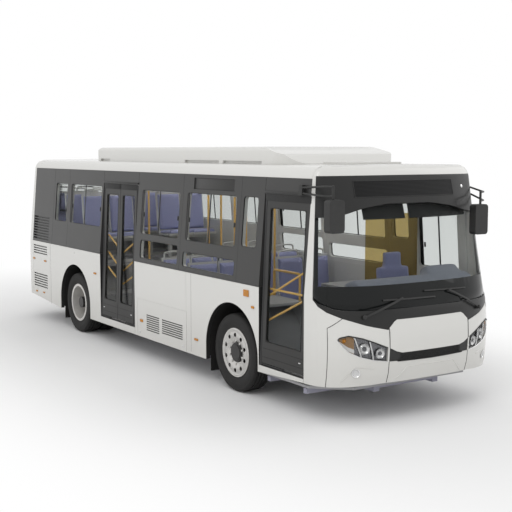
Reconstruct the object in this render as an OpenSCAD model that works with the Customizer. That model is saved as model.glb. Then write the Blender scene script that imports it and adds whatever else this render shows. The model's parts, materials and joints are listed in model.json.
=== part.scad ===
// Low-floor battery electric city bus, nine metres long, with gliding doors on its kerb side.
// +Z is up, the front faces -Y and the kerb side with the doors faces -X.
// The origin is on the ground under the middle.

/* [Overall] */
// Length from the nose to the tail
body_l = 9200; // [9100:10:9400]
// Width over the lower side walls
body_w = 2500; // [2480:5:2520]
// Height of the waist, where the dark window band starts
waist_z = 1360; // [1340:5:1380]
// Height of the top of the window band
band_top_z = 2630; // [2600:5:2660]
// Inward lean of the window band, in degrees
lean = 4.75; // [4.25:0.25:5.25]
// Radius of the cove between side wall and roof
cove_r = 150; // [140:5:160]
// Rise of the roof's crown above its edges
crown_rise = 12; // [10:1:20]
// Thickness of the side walls
wall_t = 60; // [55:1:65]
// Thickness of the roof and of the end skins
skin_t = 36; // [30:1:42]
// Seam between neighbouring panels
seam = 4; // [2:0.5:6]
// Height of the skirt's lower edge between the axles
skirt_z = 300; // [290:5:310]

/* [Running gear] */
// Tyre radius
tyre_r = 480; // [475:1:485]
// Tyre width
tyre_w = 276; // [270:1:280]
// Rim radius at the bead seat
rim_r = 285; // [280:1:292]
// Distance of the outer tyre's middle from the centre plane
track_x = 1062; // [1056:1:1066]
// Spacing of the twin tyres
twin_pitch = 310; // [306:1:318]
// Front axle's place along the bus
front_axle_y = -2400; // [-2410:1:-2395]
// Rear axle's place along the bus
rear_axle_y = 2410; // [2400:1:2420]
// Radius of the wheel arches
arch_r = 600; // [596:1:604]
// Kingpin's distance from the centre plane
kingpin_x = 880; // [870:1:890]
// Kingpin radius
kingpin_r = 26; // [22:1:30]
// Radius of the wheel hubs' bearing bore
hub_bore_r = 52; // [48:1:56]

/* [Doors] */
// Front doorway's forward jamb
front_door_y0 = -3910; // [-3915:1:-3905]
// Front doorway's rearward jamb
front_door_y1 = -3020; // [-3024:1:-3016]
// Rear doorway's forward jamb
rear_door_y0 = 230; // [226:1:236]
// Rear doorway's rearward jamb
rear_door_y1 = 1410; // [1404:1:1414]
// Top of the doorways
door_top_z = 2440; // [2430:5:2450]
// Top of the sill below the front door
front_sill_z = 450; // [445:1:455]
// Top of the sill below the rear doors
rear_sill_z = 400; // [395:1:405]
// Thickness of a door leaf
leaf_t = 34; // [30:1:38]
// Radius of the turning door posts
post_r = 19; // [17:1:21]
// Running gap round the door posts and leaves
door_gap = 8; // [7:0.5:10]
// Thickness of the arms that carry a leaf
arm_t = 12; // [10:1:14]
// Radius of the pins between arm and leaf
arm_pin_r = 6; // [5:0.5:7]

/* [Cabin] */
// Top of the low floor
floor_z = 370; // [365:1:375]
// Top of the aisle floor over the rear axle
rear_floor_z = 720; // [710:5:730]
// Thickness of the floor panels
floor_t = 30; // [26:1:34]
// Width of one passenger seat
seat_w = 440; // [420:5:450]
// Radius of the hand rails
rail_r = 16; // [14:0.5:18]

/* [Glass and lamps] */
// Thickness of the glass
glass_t = 6; // [5:0.5:8]
// Fit of a pane in its opening
glass_fit = 0.3; // [0.2:0.1:0.5]
// Corner radius of the windows
window_r = 45; // [35:1:55]

/* [Hidden] */
$fn = 48;
fit = 0.3;
half = body_w / 2;
nose_y = -body_l / 2;
tail_y = body_l / 2;
white = [0.86, 0.86, 0.84];
dark = [0.27, 0.27, 0.26];
mask_grey = [0.17, 0.17, 0.17];
black = [0.06, 0.06, 0.06];
steel = [0.62, 0.63, 0.65];
lavender = [0.55, 0.55, 0.62];
blue = [0.25, 0.29, 0.47];
yellow = [0.88, 0.66, 0.25];
amber = [0.90, 0.50, 0.12];
red = [0.60, 0.06, 0.05];
glass_tint = [0.45, 0.52, 0.52, 0.5];

// Body section: the lower wall is upright, the band leans in, then a cove runs up to the roof.
band_top_x = half - (band_top_z - waist_z) * tan(lean);
cove_x = band_top_x - cove_r * cos(lean);
cove_z = band_top_z - cove_r * sin(lean);
roof_edge_z = cove_z + cove_r;
roof_z = roof_edge_z + crown_rise;
function half_width(z) =
    z <= waist_z ? half
    : z <= band_top_z ? half - (z - waist_z) * tan(lean)
    : cove_x + sqrt(max(0, pow(cove_r, 2) - pow(z - cove_z, 2)));
// Height measured along the leaning band, from the waist up
function up_band(z) = (z - waist_z) / cos(lean);

// Plan curve of an end: a rounded wedge. Profile columns: height, setback of the centre line from the very end.
front_round = 2.6;
rear_round = 4.5;
front_side_y = front_door_y0 - nose_y - 0.8 * seam;
rear_side_y = 330;
front_profile = [[400, 75], [560, 25], [800, 0], [1000, 10], [1200, 50], [waist_z, 130],
    [band_top_z, 510], [band_top_z + 60, 535], [band_top_z + 105, 565], [roof_edge_z, 625],
    [roof_edge_z + 1, front_side_y - 4]];
rear_profile = [[400, 20], [700, 0], [1300, 10], [2000, 60], [band_top_z, 130],
    [band_top_z + 60, 150], [band_top_z + 105, 185], [roof_edge_z, 290], [roof_edge_z + 1,
        rear_side_y - fit]];
// One end is [round, side setback, profile]
front_end = [front_round, front_side_y, front_profile];
rear_end = [rear_round, rear_side_y, rear_profile];

function end_point(end, x, z) =
    let (share = min(1, abs(x) / half), back = lookup(z, end[2]),
        round = 1 - pow(1 - pow(share, end[0]), 1 / end[0]),
        crown = crown_rise * (1 - share) * max(0, min(1, (z - band_top_z) / (roof_edge_z - band_top_z))))
    [sign(x) * share * half_width(z), nose_y + back + (end[1] - back) * round, z + crown];
function end_normal(end, x, z) =
    let (dx = 2, dz = 2, x0 = max(-half, x - dx), x1 = min(half, x + dx),
        across = end_point(end, x1, z) - end_point(end, x0, z),
        up = end_point(end, x, z + dz) - end_point(end, x, z - dz), n = cross(across, up))
    n / norm(n);
// Points across an end from x0 to x1, closer together where the curve is tight
function across(end, x0, x1, steps) =
    let (a0 = asin(sign(x0) * pow(min(1, abs(x0) / half), end[0] / 2)),
        a1 = asin(sign(x1) * pow(min(1, abs(x1) / half), end[0] / 2)))
    [for (k = [0:steps]) let (s = sin(a0 + (a1 - a0) * k / steps)) sign(s) * half * pow(abs(s), 2 / end[0])];

// Skin panel of an end between columns xs, with rows at the heights that the tables lines give over |x|.
// A cell [column, row] listed in gaps is left open. The skin lies from depth d0 to depth d1 below the surface.
module end_panel(end, xs, lines, d0, d1, gaps = []) {
    cols = len(xs);
    rows = len(lines);
    function at(i, j, d) =
        let (x = xs[i], z = lookup(abs(x), lines[j]), p = end_point(end, x, z) - end_normal(end, x, z) * d)
        [p[0], min(p[1], nose_y + end[1] + 1), p[2]];
    function open(i, j) =
        i < 0 || j < 0 || i >= cols - 1 || j >= rows - 1 || len([for (g = gaps) if (g == [i, j]) 1]) > 0;
    function id(i, j, side) = side * cols * rows + i * rows + j;
    function quad(a, b, c, d) = [[a, b, c], [a, c, d]];
    points = [for (side = [0, 1]) for (i = [0:cols - 1]) for (j = [0:rows - 1]) at(i, j,
        side == 0 ? d0 : d1)];
    faces = [for (i = [0:cols - 2]) for (j = [0:rows - 2]) if (!open(i, j)) each concat(
        quad(id(i, j, 0), id(i, j + 1, 0), id(i + 1, j + 1, 0), id(i + 1, j, 0)),
        quad(id(i, j, 1), id(i + 1, j, 1), id(i + 1, j + 1, 1), id(i, j + 1, 1)),
        open(i, j - 1) ? quad(id(i, j, 0), id(i + 1, j, 0), id(i + 1, j, 1), id(i, j, 1)) : [],
        open(i, j + 1) ? quad(id(i + 1, j + 1, 0), id(i, j + 1, 0), id(i, j + 1, 1), id(i + 1, j + 1,
            1)) : [],
        open(i - 1, j) ? quad(id(i, j + 1, 0), id(i, j, 0), id(i, j, 1), id(i, j + 1, 1)) : [],
        open(i + 1, j) ? quad(id(i + 1, j, 0), id(i + 1, j + 1, 0), id(i + 1, j + 1, 1), id(i + 1, j,
            1)) : [])];
    polyhedron(points, faces);
}
// The same line moved up or down, and lines that fill the height between two
function raise(line, dz) = [for (p = line) [p[0], p[1] + dz]];
function level(z) = [[0, z], [half, z]];
function fill(low, high, steps) = [for (k = [0:steps])
    [for (x = [0:2:half]) let (a = lookup(x, low), b = lookup(x, high)) [x, a + (b - a) * k / steps]]];

module both_sides() {
    children();
    mirror([1, 0, 0]) children();
}
// Flat plates of the kerb side: children are drawn in (y, z) and get thickness t, from depth d inwards.
module on_wall(t, d = 0) {
    translate([-half + d, 0, 0]) rotate([90, 0, 90]) linear_extrude(t) children();
}
// The same on the leaning band, where the drawing's second axis is height along the band
module on_band(t, d = 0) {
    translate([-half, 0, waist_z]) rotate([0, lean, 0]) translate([d, 0, 0])
        rotate([90, 0, 90]) linear_extrude(t) children();
}
module rect(y0, y1, z0, z1) {
    translate([y0, z0]) square([y1 - y0, z1 - z0]);
}
module round_rect(y0, y1, z0, z1, r) {
    rect(y0 + r, y1 - r, z0, z1);
    rect(y0, y1, z0 + r, z1 - r);
    for (y = [y0 + r, y1 - r], z = [z0 + r, z1 - r]) translate([y, z]) circle(r);
}
module tube(a, b, r) {
    d = b - a;
    translate(a) rotate([0, acos(d[2] / norm(d)), atan2(d[1], d[0])]) cylinder(r = r, h = norm(d));
}
module block(x0, x1, y0, y1, z0, z1) {
    translate([x0, y0, z0]) cube([x1 - x0, y1 - y0, z1 - z0]);
}

// Side panels. Seams along the bus split the band where its panels meet.
band_front_y = front_door_y0;
band_rear_y = tail_y - rear_side_y - seam / 2;
band_foot = wall_t * tan(lean) + fit;
band_h = up_band(band_top_z);
// Windows of the kerb side: y0, y1, z0, z1
kerb_windows = [[2810, 3300, 1770, 2395], [1465, 2660, 1770, 2395], [-1010, 90, 1770, 2385],
    [-1025, 70, 1425, 1683], [-2426, -1210, 1770, 2390], [-2450, -1170, 1425, 1620], [-2895, -2575,
        1800, 2395]];
// The other side has a window where the rear door is, and the driver's window
off_windows = concat(kerb_windows, [[290, 1280, 1770, 2385], [-3780, -3060, 1470, 2395]]);
kerb_seams = [band_rear_y, 3380, 2740, rear_door_y1, rear_door_y0, -1090, -2515, front_door_y1];
off_seams = [band_rear_y, 3380, 2740, 1410, 230, -1090, -2515, front_door_y1, band_front_y];
sign_recess = [-2345, -1360, 2440, 2585];
louvre_dark = [3540, band_rear_y - 30, 1406, 1822];

module band_panels(seams, windows) {
    for (k = [0:len(seams) - 2]) {
        y1 = seams[k] - (k == 0 ? 0 : seam / 2);
        y0 = seams[k + 1] + (k == len(seams) - 2 ? 0 : seam / 2);
        is_door = seams == kerb_seams && seams[k] == rear_door_y1;
        difference() {
            on_band(wall_t) difference() {
                rect(y0, y1, is_door ? up_band(door_top_z) : band_foot, band_h);
                for (w = windows) if (w[0] > y0 && w[1] < y1)
                    round_rect(w[0], w[1], up_band(w[2]), up_band(w[3]), window_r);
            }
            if (sign_recess[0] > y0 && sign_recess[1] < y1 && seams == kerb_seams)
                on_band(15, -1)
                    rect(sign_recess[0], sign_recess[1], up_band(sign_recess[2]), up_band(sign_recess[3]));
            if (louvre_dark[0] > y0 && louvre_dark[1] < y1) louvre_slots();
        }
    }
}
module louvre_slots() {
    pitch = 46;
    for (z = [louvre_dark[2]:pitch:louvre_dark[3] - pitch])
        on_band(wall_t - 25, -1) rect(louvre_dark[0], louvre_dark[1], up_band(z), up_band(z + pitch * 0.55));
}
module right_band() color(dark) {
    band_panels(kerb_seams, kerb_windows);
    on_band(wall_t / 2) rect(band_front_y, front_door_y1 - seam, up_band(door_top_z), band_h);
}
module left_band() color(dark) mirror([1, 0, 0]) band_panels(off_seams, off_windows);

module panes(windows) {
    pane_in = 10;
    for (w = windows) on_band(glass_t, pane_in)
        round_rect(w[0] + glass_fit, w[1] - glass_fit, up_band(w[2]) + glass_fit, up_band(w[3]) - glass_fit,
            window_r - glass_fit);
}
// All fixed panes: both sides and the rear window
module window_glass() color(glass_tint) {
    panes(kerb_windows);
    mirror([1, 0, 0]) panes(off_windows);
    rear_window();
}

// Lower side walls. The lower edge rises towards both ends.
arch_z = 500;
skirt_front_y = front_door_y0;
skirt_rear_y = tail_y - rear_side_y - seam / 2;
skirt_front_z = 408;
skirt_rear_z = 405;
// Lower edge of the skirt: y, z
skirt_edge = [[skirt_front_y, skirt_front_z], [front_door_y1, 365], [-1800, skirt_z], [1800, skirt_z],
    [3050, 316], [skirt_rear_y, skirt_rear_z]];
flap_y0 = -1290;
flap_y1 = 140;
flap_top_z = 840;
flap_t = 30;
// Panels of the kerb side skirt: y0, y1, top
kerb_panels = [[3482, skirt_rear_y, waist_z], [rear_door_y1, 3482, waist_z],
    [rear_door_y0, rear_door_y1, rear_sill_z],
    [-1290, rear_door_y0, waist_z], [front_door_y1, -1290, waist_z], [skirt_front_y, front_door_y1,
        front_sill_z]];
off_panels = [[3482, skirt_rear_y, waist_z], [1410, 3482, waist_z], [230, 1410, waist_z],
    [-1290, 230, waist_z], [front_door_y1, -1290, waist_z], [skirt_front_y, front_door_y1, waist_z]];
// Slats of the rear vents: y0, y1, z0, z1
rear_vents = [[3600, tail_y - 370, 1145, 1333], [3600, tail_y - 370, 567, 845]];

module arch_cut(y) {
    translate([y, arch_z]) circle(arch_r);
    rect(y - arch_r, y + arch_r, 0, arch_z);
}
module skirt_panels(panels) {
    slat = 42;
    for (p = panels) difference() {
        on_wall(wall_t) difference() {
            rect(p[0] + seam / 2, p[1] - seam / 2, 0, p[2]);
            polygon(concat([[skirt_front_y - 1, 0]],
                [for (e = skirt_edge) [e[0] + sign(e[0]) * (abs(e[0]) > 3900 ? 1 : 0), e[1]]],
                [[skirt_rear_y + 1, 0]]));
            arch_cut(front_axle_y);
            arch_cut(rear_axle_y);
            rect(flap_y0 - flap_gap, flap_y1, 0, flap_top_z + hinge_gap);
        }
        if (p[0] > 3400) for (v = rear_vents, z = [v[2]:slat:v[3] - slat])
            on_wall(wall_t - 25, -1) rect(v[0], v[1], z, z + slat * 0.5);
    }
}
module right_skirt() color(white) skirt_panels(kerb_panels);
module left_skirt() color(white) mirror([1, 0, 0]) skirt_panels(off_panels);

// Hinged service flap in the skirt, with two louvre blocks
module service_flap() {
    louvre = 30;
    // Louvre blocks: y0, y1, z0, z1
    blocks = [[-525, -140, 418, 679], [-1187, -606, 444, 681]];
    difference() {
        on_wall(flap_t) rect(flap_y0, flap_y1 - flap_gap, skirt_z, flap_top_z);
        for (b = blocks, z = [b[2]:louvre:b[3] - louvre])
            on_wall(flap_t / 2, -1) rect(b[0], b[1], z, z + louvre * 0.5);
    }
}
module right_flap() color(white) service_flap();
module left_flap() color(white) mirror([1, 0, 0]) service_flap();

// Roof: crowned panel with coved edges, drawn as a section in (x, z)
roof_front_y = front_door_y0;
roof_rear_y = tail_y - rear_side_y - seam / 2;
// Half of the section from the foot of the cove to its top, at a depth below the surface
function cove_line(inset) =
    let (r = cove_r - inset, foot = asin((band_top_z - cove_z) / r), steps = 8)
    [for (k = [0:steps]) let (a = foot + (90 - foot) * k / steps) [cove_x + r * cos(a), cove_z + r * sin(a)]];
function flip(line) = [for (k = [len(line) - 1:-1:0]) [-line[k][0], line[k][1]]];
function roof_line(inset) = concat(cove_line(inset), [[0, roof_z - inset]], flip(cove_line(inset)));
function backwards(line) = [for (k = [len(line) - 1:-1:0]) line[k]];
module along_y(y0, y1) translate([0, y1, 0]) rotate([90, 0, 0]) linear_extrude(y1 - y0) children();
module roof() color(white) along_y(roof_front_y, roof_rear_y)
    polygon(concat(roof_line(0), backwards(roof_line(skin_t))));
// Roof fairing over the batteries and the cooler, with a low hatch plate before it
pod_y0 = -3040;
pod_y1 = 2460;
pod_half = half - 350;
pod_top_z = 2980;
module roof_fairing() color(white) {
    shoulder = 80;
    corner = 350;
    base_z = roof_edge_z - 10;
    slope = 260;
    side = pod_half - 20;
    slot_h = 36;
    plate_top = roof_z + 20;
    difference() {
        union() {
            intersection() {
                translate([0, 0, base_z]) linear_extrude(pod_top_z - base_z)
                    round_rect(-pod_half, pod_half, pod_y0, pod_y1, corner);
                along_y(pod_y0, pod_y1) polygon(concat([[-pod_half, base_z]], shoulder_line(-1, side,
                    shoulder),
                    backwards(shoulder_line(1, side, shoulder)), [[pod_half, base_z]]));
                translate([-pod_half, 0, 0]) rotate([90, 0, 90]) linear_extrude(2 * pod_half)
                    polygon([[pod_y0, base_z], [pod_y0, roof_z], [pod_y0 + slope / 2, pod_top_z - 90],
                        [pod_y0 + 2 * slope, pod_top_z], [pod_y1 - slope, pod_top_z], [pod_y1, roof_z],
                        [pod_y1, base_z]]);
            }
            translate([0, 0, base_z]) linear_extrude(plate_top - base_z)
                round_rect(-420, 420, pod_y0 - 560, pod_y0 - 60, 60);
        }
        // What lies under the roof's crown
        along_y(roof_front_y, roof_rear_y)
            polygon([[-half, 0], [-half, roof_edge_z - 3], [0, roof_z + fit], [half, roof_edge_z - 3],
                [half, 0]]);
        // Air slots along the foot
        for (s = [-1, 1], y = [pod_y0 + 500, pod_y0 + 1500, pod_y1 - 700])
            translate([s * pod_half - 40, y, base_z]) cube([80, y > 0 ? 350 : 900, 12 + slot_h]);
    }
}
function shoulder_line(s, side, r) = [for (k = [0:6]) let (a = 15 * k)
    [s * (side - r + r * cos(a)), pod_top_z - r + r * sin(a)]];

// Front end, drawn for a half width of drawn_half and spread to the body's.
// Each line gives a height over the distance from the middle: |x|, z
drawn_half = 1250;
spread = half / drawn_half;
function widen(line) = [for (p = line) [p[0] * spread, p[1]]];
function columns(xs) = [for (x = xs) x * spread];
front_foot = widen([[0, 446], [600, 442], [900, 424], [drawn_half, skirt_front_z]]);
bumper_top = widen([[0, 674], [460, 680], [drawn_half, 690]]);
flap_foot = widen([[0, 766], [420, 766], [495, 786], [580, 830], [drawn_half, 830]]);
mask_foot = widen([[0, 1130], [470, 1130], [505, 1112], [595, 1030], [818, 1080], [1071, 1166], [1173, 1220],
    [1218, 1274], [1238, 1345], [drawn_half, 1360]]);
screen_foot = widen([[0, 1243], [900, 1240], [1050, 1246], [1135, 1262], [1218, 1310], [drawn_half, 1380]]);
screen_top = widen([[0, 2350], [350, 2350], [700, 2305], [900, 2255], [1080, 2225], [drawn_half, 2215]]);
screen_kink = widen([[0, waist_z], [1150, waist_z], [drawn_half, waist_z + 70]]);
header_top = level(band_top_z + 30);
side_top = widen([[0, 1027.5], [595, 1027.5], [818, 1077.5], [1060, 1159.5], [1175, 1055], [drawn_half,
    1055]]);
corner_low = widen([[0, 1163], [1060, 1163], [1175, 1057], [drawn_half, 1057]]);
bumper_shut_x = 1175 * spread;
centre_shut_x = 580 * spread;
pillar_x = 1238 * spread;
shut = 0.5;
pillar_gap = 1.4;
// Running gap round the flaps, and the gap at their hinge line
flap_gap = 6;
hinge_gap = 0.6;
// Headlamp, a leaf from the centre panel to the corner: |x|, z of its lower and upper edge
lamp_foot = widen([[0, 680], [600, 684], [760, 707], [913, 750], [1022, 807], [1081, 882], [1108, 930],
    [drawn_half, 940]]);
lamp_top = widen([[0, 815], [600, 834], [760, 902], [885, 949], [1014, 979], [1081, 960], [1108, 942],
    [drawn_half, 950]]);
lamp_gap = 4;
// Columns of the panels, from the middle outwards
function mirrored(xs) = concat([for (k = [len(xs) - 1:-1:1]) -xs[k]], xs);
centre_x = concat(columns([0, 150, 300, 420, 495]), [centre_shut_x - shut]);
flap_x = concat(columns([0, 150, 300, 420, 470, 495, 505, 540]), [centre_shut_x - flap_gap]);
mask_x = concat(columns([0, 160, 320, 470, 505, 550, 595, 670, 745, 818, 900, 985, 1071, 1125, 1173,
    1200, 1218,
    1229]), [pillar_x - pillar_gap]);
side_x = concat([centre_shut_x + shut], columns([600, 680, 760, 840, 913, 965, 1014, 1060, 1081, 1108, 1140]),
    [bumper_shut_x - 2 * shut]);
lamp_cells = [1:9];
corner_x = concat(columns([1064, 1100, 1137]), [bumper_shut_x], columns([1200, 1218, 1229]), [pillar_x],
    columns([1243, 1246.5, 1249]), [half]);

header_rows = fill(raise(screen_top, shut), level(band_top_z), 3);

module front_cap() color(white)
    end_panel(front_end, across(front_end, -half, half, 28),
        [raise(header_top, shut), level(band_top_z + 70), level(band_top_z + 105), level(roof_edge_z),
            level(roof_edge_z + 1)], 0, skin_t);
module front_header() color(mask_grey)
    end_panel(front_end, mirrored(mask_x),
        concat(header_rows, [header_top]), 0, skin_t);
module windscreen() color(glass_tint)
    end_panel(front_end, mirrored(mask_x), concat([raise(screen_foot, 2 * shut)], fill(screen_kink,
        screen_top, 2)),
        3, 3 + glass_t + 2);
module front_mask() color(mask_grey)
    end_panel(front_end, mirrored(mask_x), fill(mask_foot, raise(screen_foot, -shut), 3), 0, skin_t);
module front_corners() color(white) {
    rows = concat(fill(front_foot, corner_low, 4), [raise(mask_foot, -3 * shut), level(waist_z + 120),
        level(2000),
        each header_rows, header_top]);
    gaps = [for (i = [0:6], j = [0:11]) if (j != 4 && (i < 3 || j > 4)) [i, j]];
    both_sides() end_panel(front_end, corner_x, rows, 0, skin_t, gaps);
}
module front_bumper() color(white) {
    both_sides() end_panel(front_end, side_x, concat(fill(front_foot, lamp_foot, 4), fill(lamp_top,
        side_top, 2)),
        0, skin_t, [for (i = lamp_cells) [i, 4]]);
    end_panel(front_end, mirrored(centre_x), fill(front_foot, bumper_top, 2), 0, skin_t);
}
module front_flap() color(white)
    end_panel(front_end, mirrored(flap_x),
        [raise(flap_foot, flap_gap / 2), level(900), level(1000), raise(mask_foot, -hinge_gap)], 0, flap_t);
module grille() color(black)
    end_panel(front_end, mirrored(centre_x), [raise(bumper_top, shut), raise(flap_foot, -flap_gap / 2)],
        8, 8 + flap_t);
module headlamps() color(steel) {
    xs = [for (x = side_x) max(600 * spread + lamp_gap, min(1102 * spread - lamp_gap, x))];
    both_sides() {
        end_panel(front_end, [for (i = [1:10]) xs[i]], [raise(lamp_foot, lamp_gap), raise(lamp_top,
            -lamp_gap)],
            4, 30);
        // Fog lamp on the bumper
        on_end(front_end, 938 * spread, 575) translate([0, 0, 0.4]) cylinder(r = 48, h = 8);
    }
}
// Children stand on an end's surface, their z axis along its normal
module on_end(end, x, z) {
    n = end_normal(end, x, z);
    translate(end_point(end, x, z)) rotate([0, acos(n[2]), atan2(n[1], n[0])]) children();
}

// Rear end, drawn at the nose and turned round. Heights of its panels:
rear_foot_z = 405;
rear_bumper_z = 640;
hatch_top_z = 1480;
hatch_x = half - 250;
rear_window_z0 = 1960;
rear_window_z1 = 2480;
rear_window_x = half - 290;
module at_rear() mirror([0, 1, 0]) children();
rear_side_x = across(rear_end, hatch_x + flap_gap, half, 8);
module rear_panel() color(white) at_rear() {
    side = rear_side_x;
    inner = [rear_window_x, 640, 320, 0];
    xs = concat([for (k = [8:-1:0]) -side[k]], [for (x = inner) if (x > 0) -x], [0],
        [for (k = [2:-1:0]) inner[k]], side);
    rows = [for (z = [rear_bumper_z + shut, 700, 1300, hatch_top_z, rear_window_z0, rear_window_z1,
        band_top_z,
        band_top_z + 60, band_top_z + 105, roof_edge_z, roof_edge_z + 1]) level(z)];
    end_panel(rear_end, xs, rows, 0, skin_t, concat([for (i = [8:15], j = [0:2]) [i, j]],
        [for (i = [9:14]) [i, 4]]));
}
module rear_window() at_rear()
    end_panel(rear_end, [for (x = [-3:3]) x * (rear_window_x - fit) / 3],
        [level(rear_window_z0 + fit), level(rear_window_z1 - fit)], 4, 4 + glass_t);
module rear_bumper() color(white) at_rear()
    end_panel(rear_end, across(rear_end, -half, half, 26), [level(rear_foot_z), level(rear_bumper_z)],
        0, skin_t);
module rear_hatch() color(white) at_rear()
    end_panel(rear_end, across(rear_end, -hatch_x, hatch_x, 12),
        [for (z = [rear_bumper_z + flap_gap, 700, 1300, hatch_top_z - hinge_gap]) level(z)], 0, flap_t);
module tail_lamps() color(red) at_rear() {
    proud = 8;
    // Lamp blocks on each corner: z0, z1
    for (lamp = [[760, 900], [910, 1050], [1060, 1200]]) both_sides()
        end_panel(rear_end, [for (k = [2:5]) rear_side_x[k]], [level(lamp[0]), level(lamp[1])], -proud, -fit);
}

// Gliding doors. Each leaf turns on arms over and under it, whose posts stand beside the leaf.
// The doorway's plane leans, because the sill is at full width and the header is on the band.
function door_tilt(door) = atan((half - half_width(door_top_z)) / (door_top_z - door[3]));
function door_h(door) = (door_top_z - door[3]) / cos(door_tilt(door));
leaf_in = 2;
door_mid = leaf_in + leaf_t / 2;
jamb_gap = post_r + door_gap;
leaf_gap = post_r + door_gap + 1;
lead_gap = 10;
leaf_z0 = 38;
function leaf_z1(door) = door_h(door) - 46;
arm_gap = 7;
leaf_rim = 70;
glass_z0 = 290;
function glass_z1(door) = door_h(door) - 160;
front_leaf_w = front_door_y1 - front_door_y0 - jamb_gap - leaf_gap - lead_gap;
rear_leaf_w = (rear_door_y1 - rear_door_y0) / 2 - jamb_gap - leaf_gap - lead_gap / 2;
// One door is [post's y, direction of the leaf from the post, leaf width, sill]
front_door = [front_door_y1 - jamb_gap, -1, front_leaf_w, front_sill_z];
rear_door_a = [rear_door_y0 + jamb_gap, 1, rear_leaf_w, rear_sill_z];
rear_door_b = [rear_door_y1 - jamb_gap, -1, rear_leaf_w, rear_sill_z];
function arm_length(door) = door[2] / 2 + leaf_gap;

module in_door(door) {
    translate([-half, door[0], door[3]]) rotate([0, door_tilt(door), 0])
        mirror([0, door[1] < 0 ? 1 : 0, 0]) children();
}
module door_post(door) in_door(door) {
    arm_half = 16;
    foot = 2.2;
    head = 2;
    reach = arm_length(door);
    translate([door_mid, 0, foot]) cylinder(r = post_r, h = door_h(door) - foot - head);
    for (z = [leaf_z0 - arm_gap - arm_t, leaf_z1(door) + arm_gap]) translate([door_mid, 0, z]) {
        cylinder(r = post_r + 2, h = arm_t);
        translate([-arm_half, 0, 0]) cube([2 * arm_half, reach, arm_t]);
        translate([0, reach, 0]) cylinder(r = arm_half + 4, h = arm_t);
    }
    pin = arm_gap + 20;
    translate([door_mid, reach, leaf_z0 - arm_gap - 1]) cylinder(r = arm_pin_r, h = pin + 1);
    translate([door_mid, reach, leaf_z1(door) + arm_gap - pin]) cylinder(r = arm_pin_r, h = pin + 1);
}
module leaf_outline(door) {
    rect(leaf_gap, leaf_gap + door[2], leaf_z0, leaf_z1(door));
}
module leaf_window(door, gap) {
    round_rect(leaf_gap + leaf_rim + gap, leaf_gap + door[2] - leaf_rim - gap, glass_z0 + gap,
        glass_z1(door) - gap,
        window_r - gap);
}
module door_leaf(door) in_door(door) difference() {
    translate([leaf_in, 0, 0]) rotate([90, 0, 90]) linear_extrude(leaf_t) difference() {
        leaf_outline(door);
        leaf_window(door, 0);
    }
    bore = 24;
    for (z = [leaf_z0 - 1, leaf_z1(door) - bore]) translate([door_mid, arm_length(door), z])
        cylinder(r = arm_pin_r + fit, h = bore + 1);
}
module leaf_glass(door) in_door(door)
    translate([leaf_in + 8, 0, 0]) rotate([90, 0, 90]) linear_extrude(glass_t) leaf_window(door, glass_fit);
module front_post() color(black) door_post(front_door);
module rear_post_a() color(black) door_post(rear_door_a);
module rear_post_b() color(black) door_post(rear_door_b);
module front_leaf() color(dark) door_leaf(front_door);
module rear_leaf_a() color(dark) door_leaf(rear_door_a);
module rear_leaf_b() color(dark) door_leaf(rear_door_b);
module front_leaf_glass() color(glass_tint) leaf_glass(front_door);
module rear_leaf_a_glass() color(glass_tint) leaf_glass(rear_door_a);
module rear_leaf_b_glass() color(glass_tint) leaf_glass(rear_door_b);

// Wheel housings: arched liners with a flat inner wall, and mud flaps behind the wheels
liner_t = 8;
box_x = 580;
floor_edge_x = half - wall_t - fit;
podium_z = arch_z + arch_r + liner_t + floor_t + fit;
module wheel_arches() color(black) both_sides() for (y = [front_axle_y, rear_axle_y]) {
    foot = floor_z - floor_t;
    depth = half - wall_t - fit - box_x;
    on_wall(depth, wall_t + fit) difference() {
        union() {
            translate([y, arch_z]) circle(arch_r + liner_t);
            rect(y - arch_r - liner_t, y + arch_r + liner_t, foot, arch_z);
        }
        union() {
            translate([y, arch_z]) circle(arch_r);
            rect(y - arch_r, y + arch_r, 0, arch_z);
        }
        rect(y - 2 * arch_r, y + 2 * arch_r, -2 * arch_r, foot);
    }
    // Inner wall, with a hole for the driven axle
    on_wall(liner_t, half - box_x) difference() {
        rect(y - arch_r - liner_t, y + arch_r + liner_t, foot, arch_z + arch_r + liner_t);
        if (y == rear_axle_y) translate([y, tyre_r]) circle(75);
    }
    flap_x1 = half - wall_t - 10;
    block(-flap_x1, -flap_x1 + 280, y + arch_r - 6 - fit, y + arch_r - fit, 140, 600);
}

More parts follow.
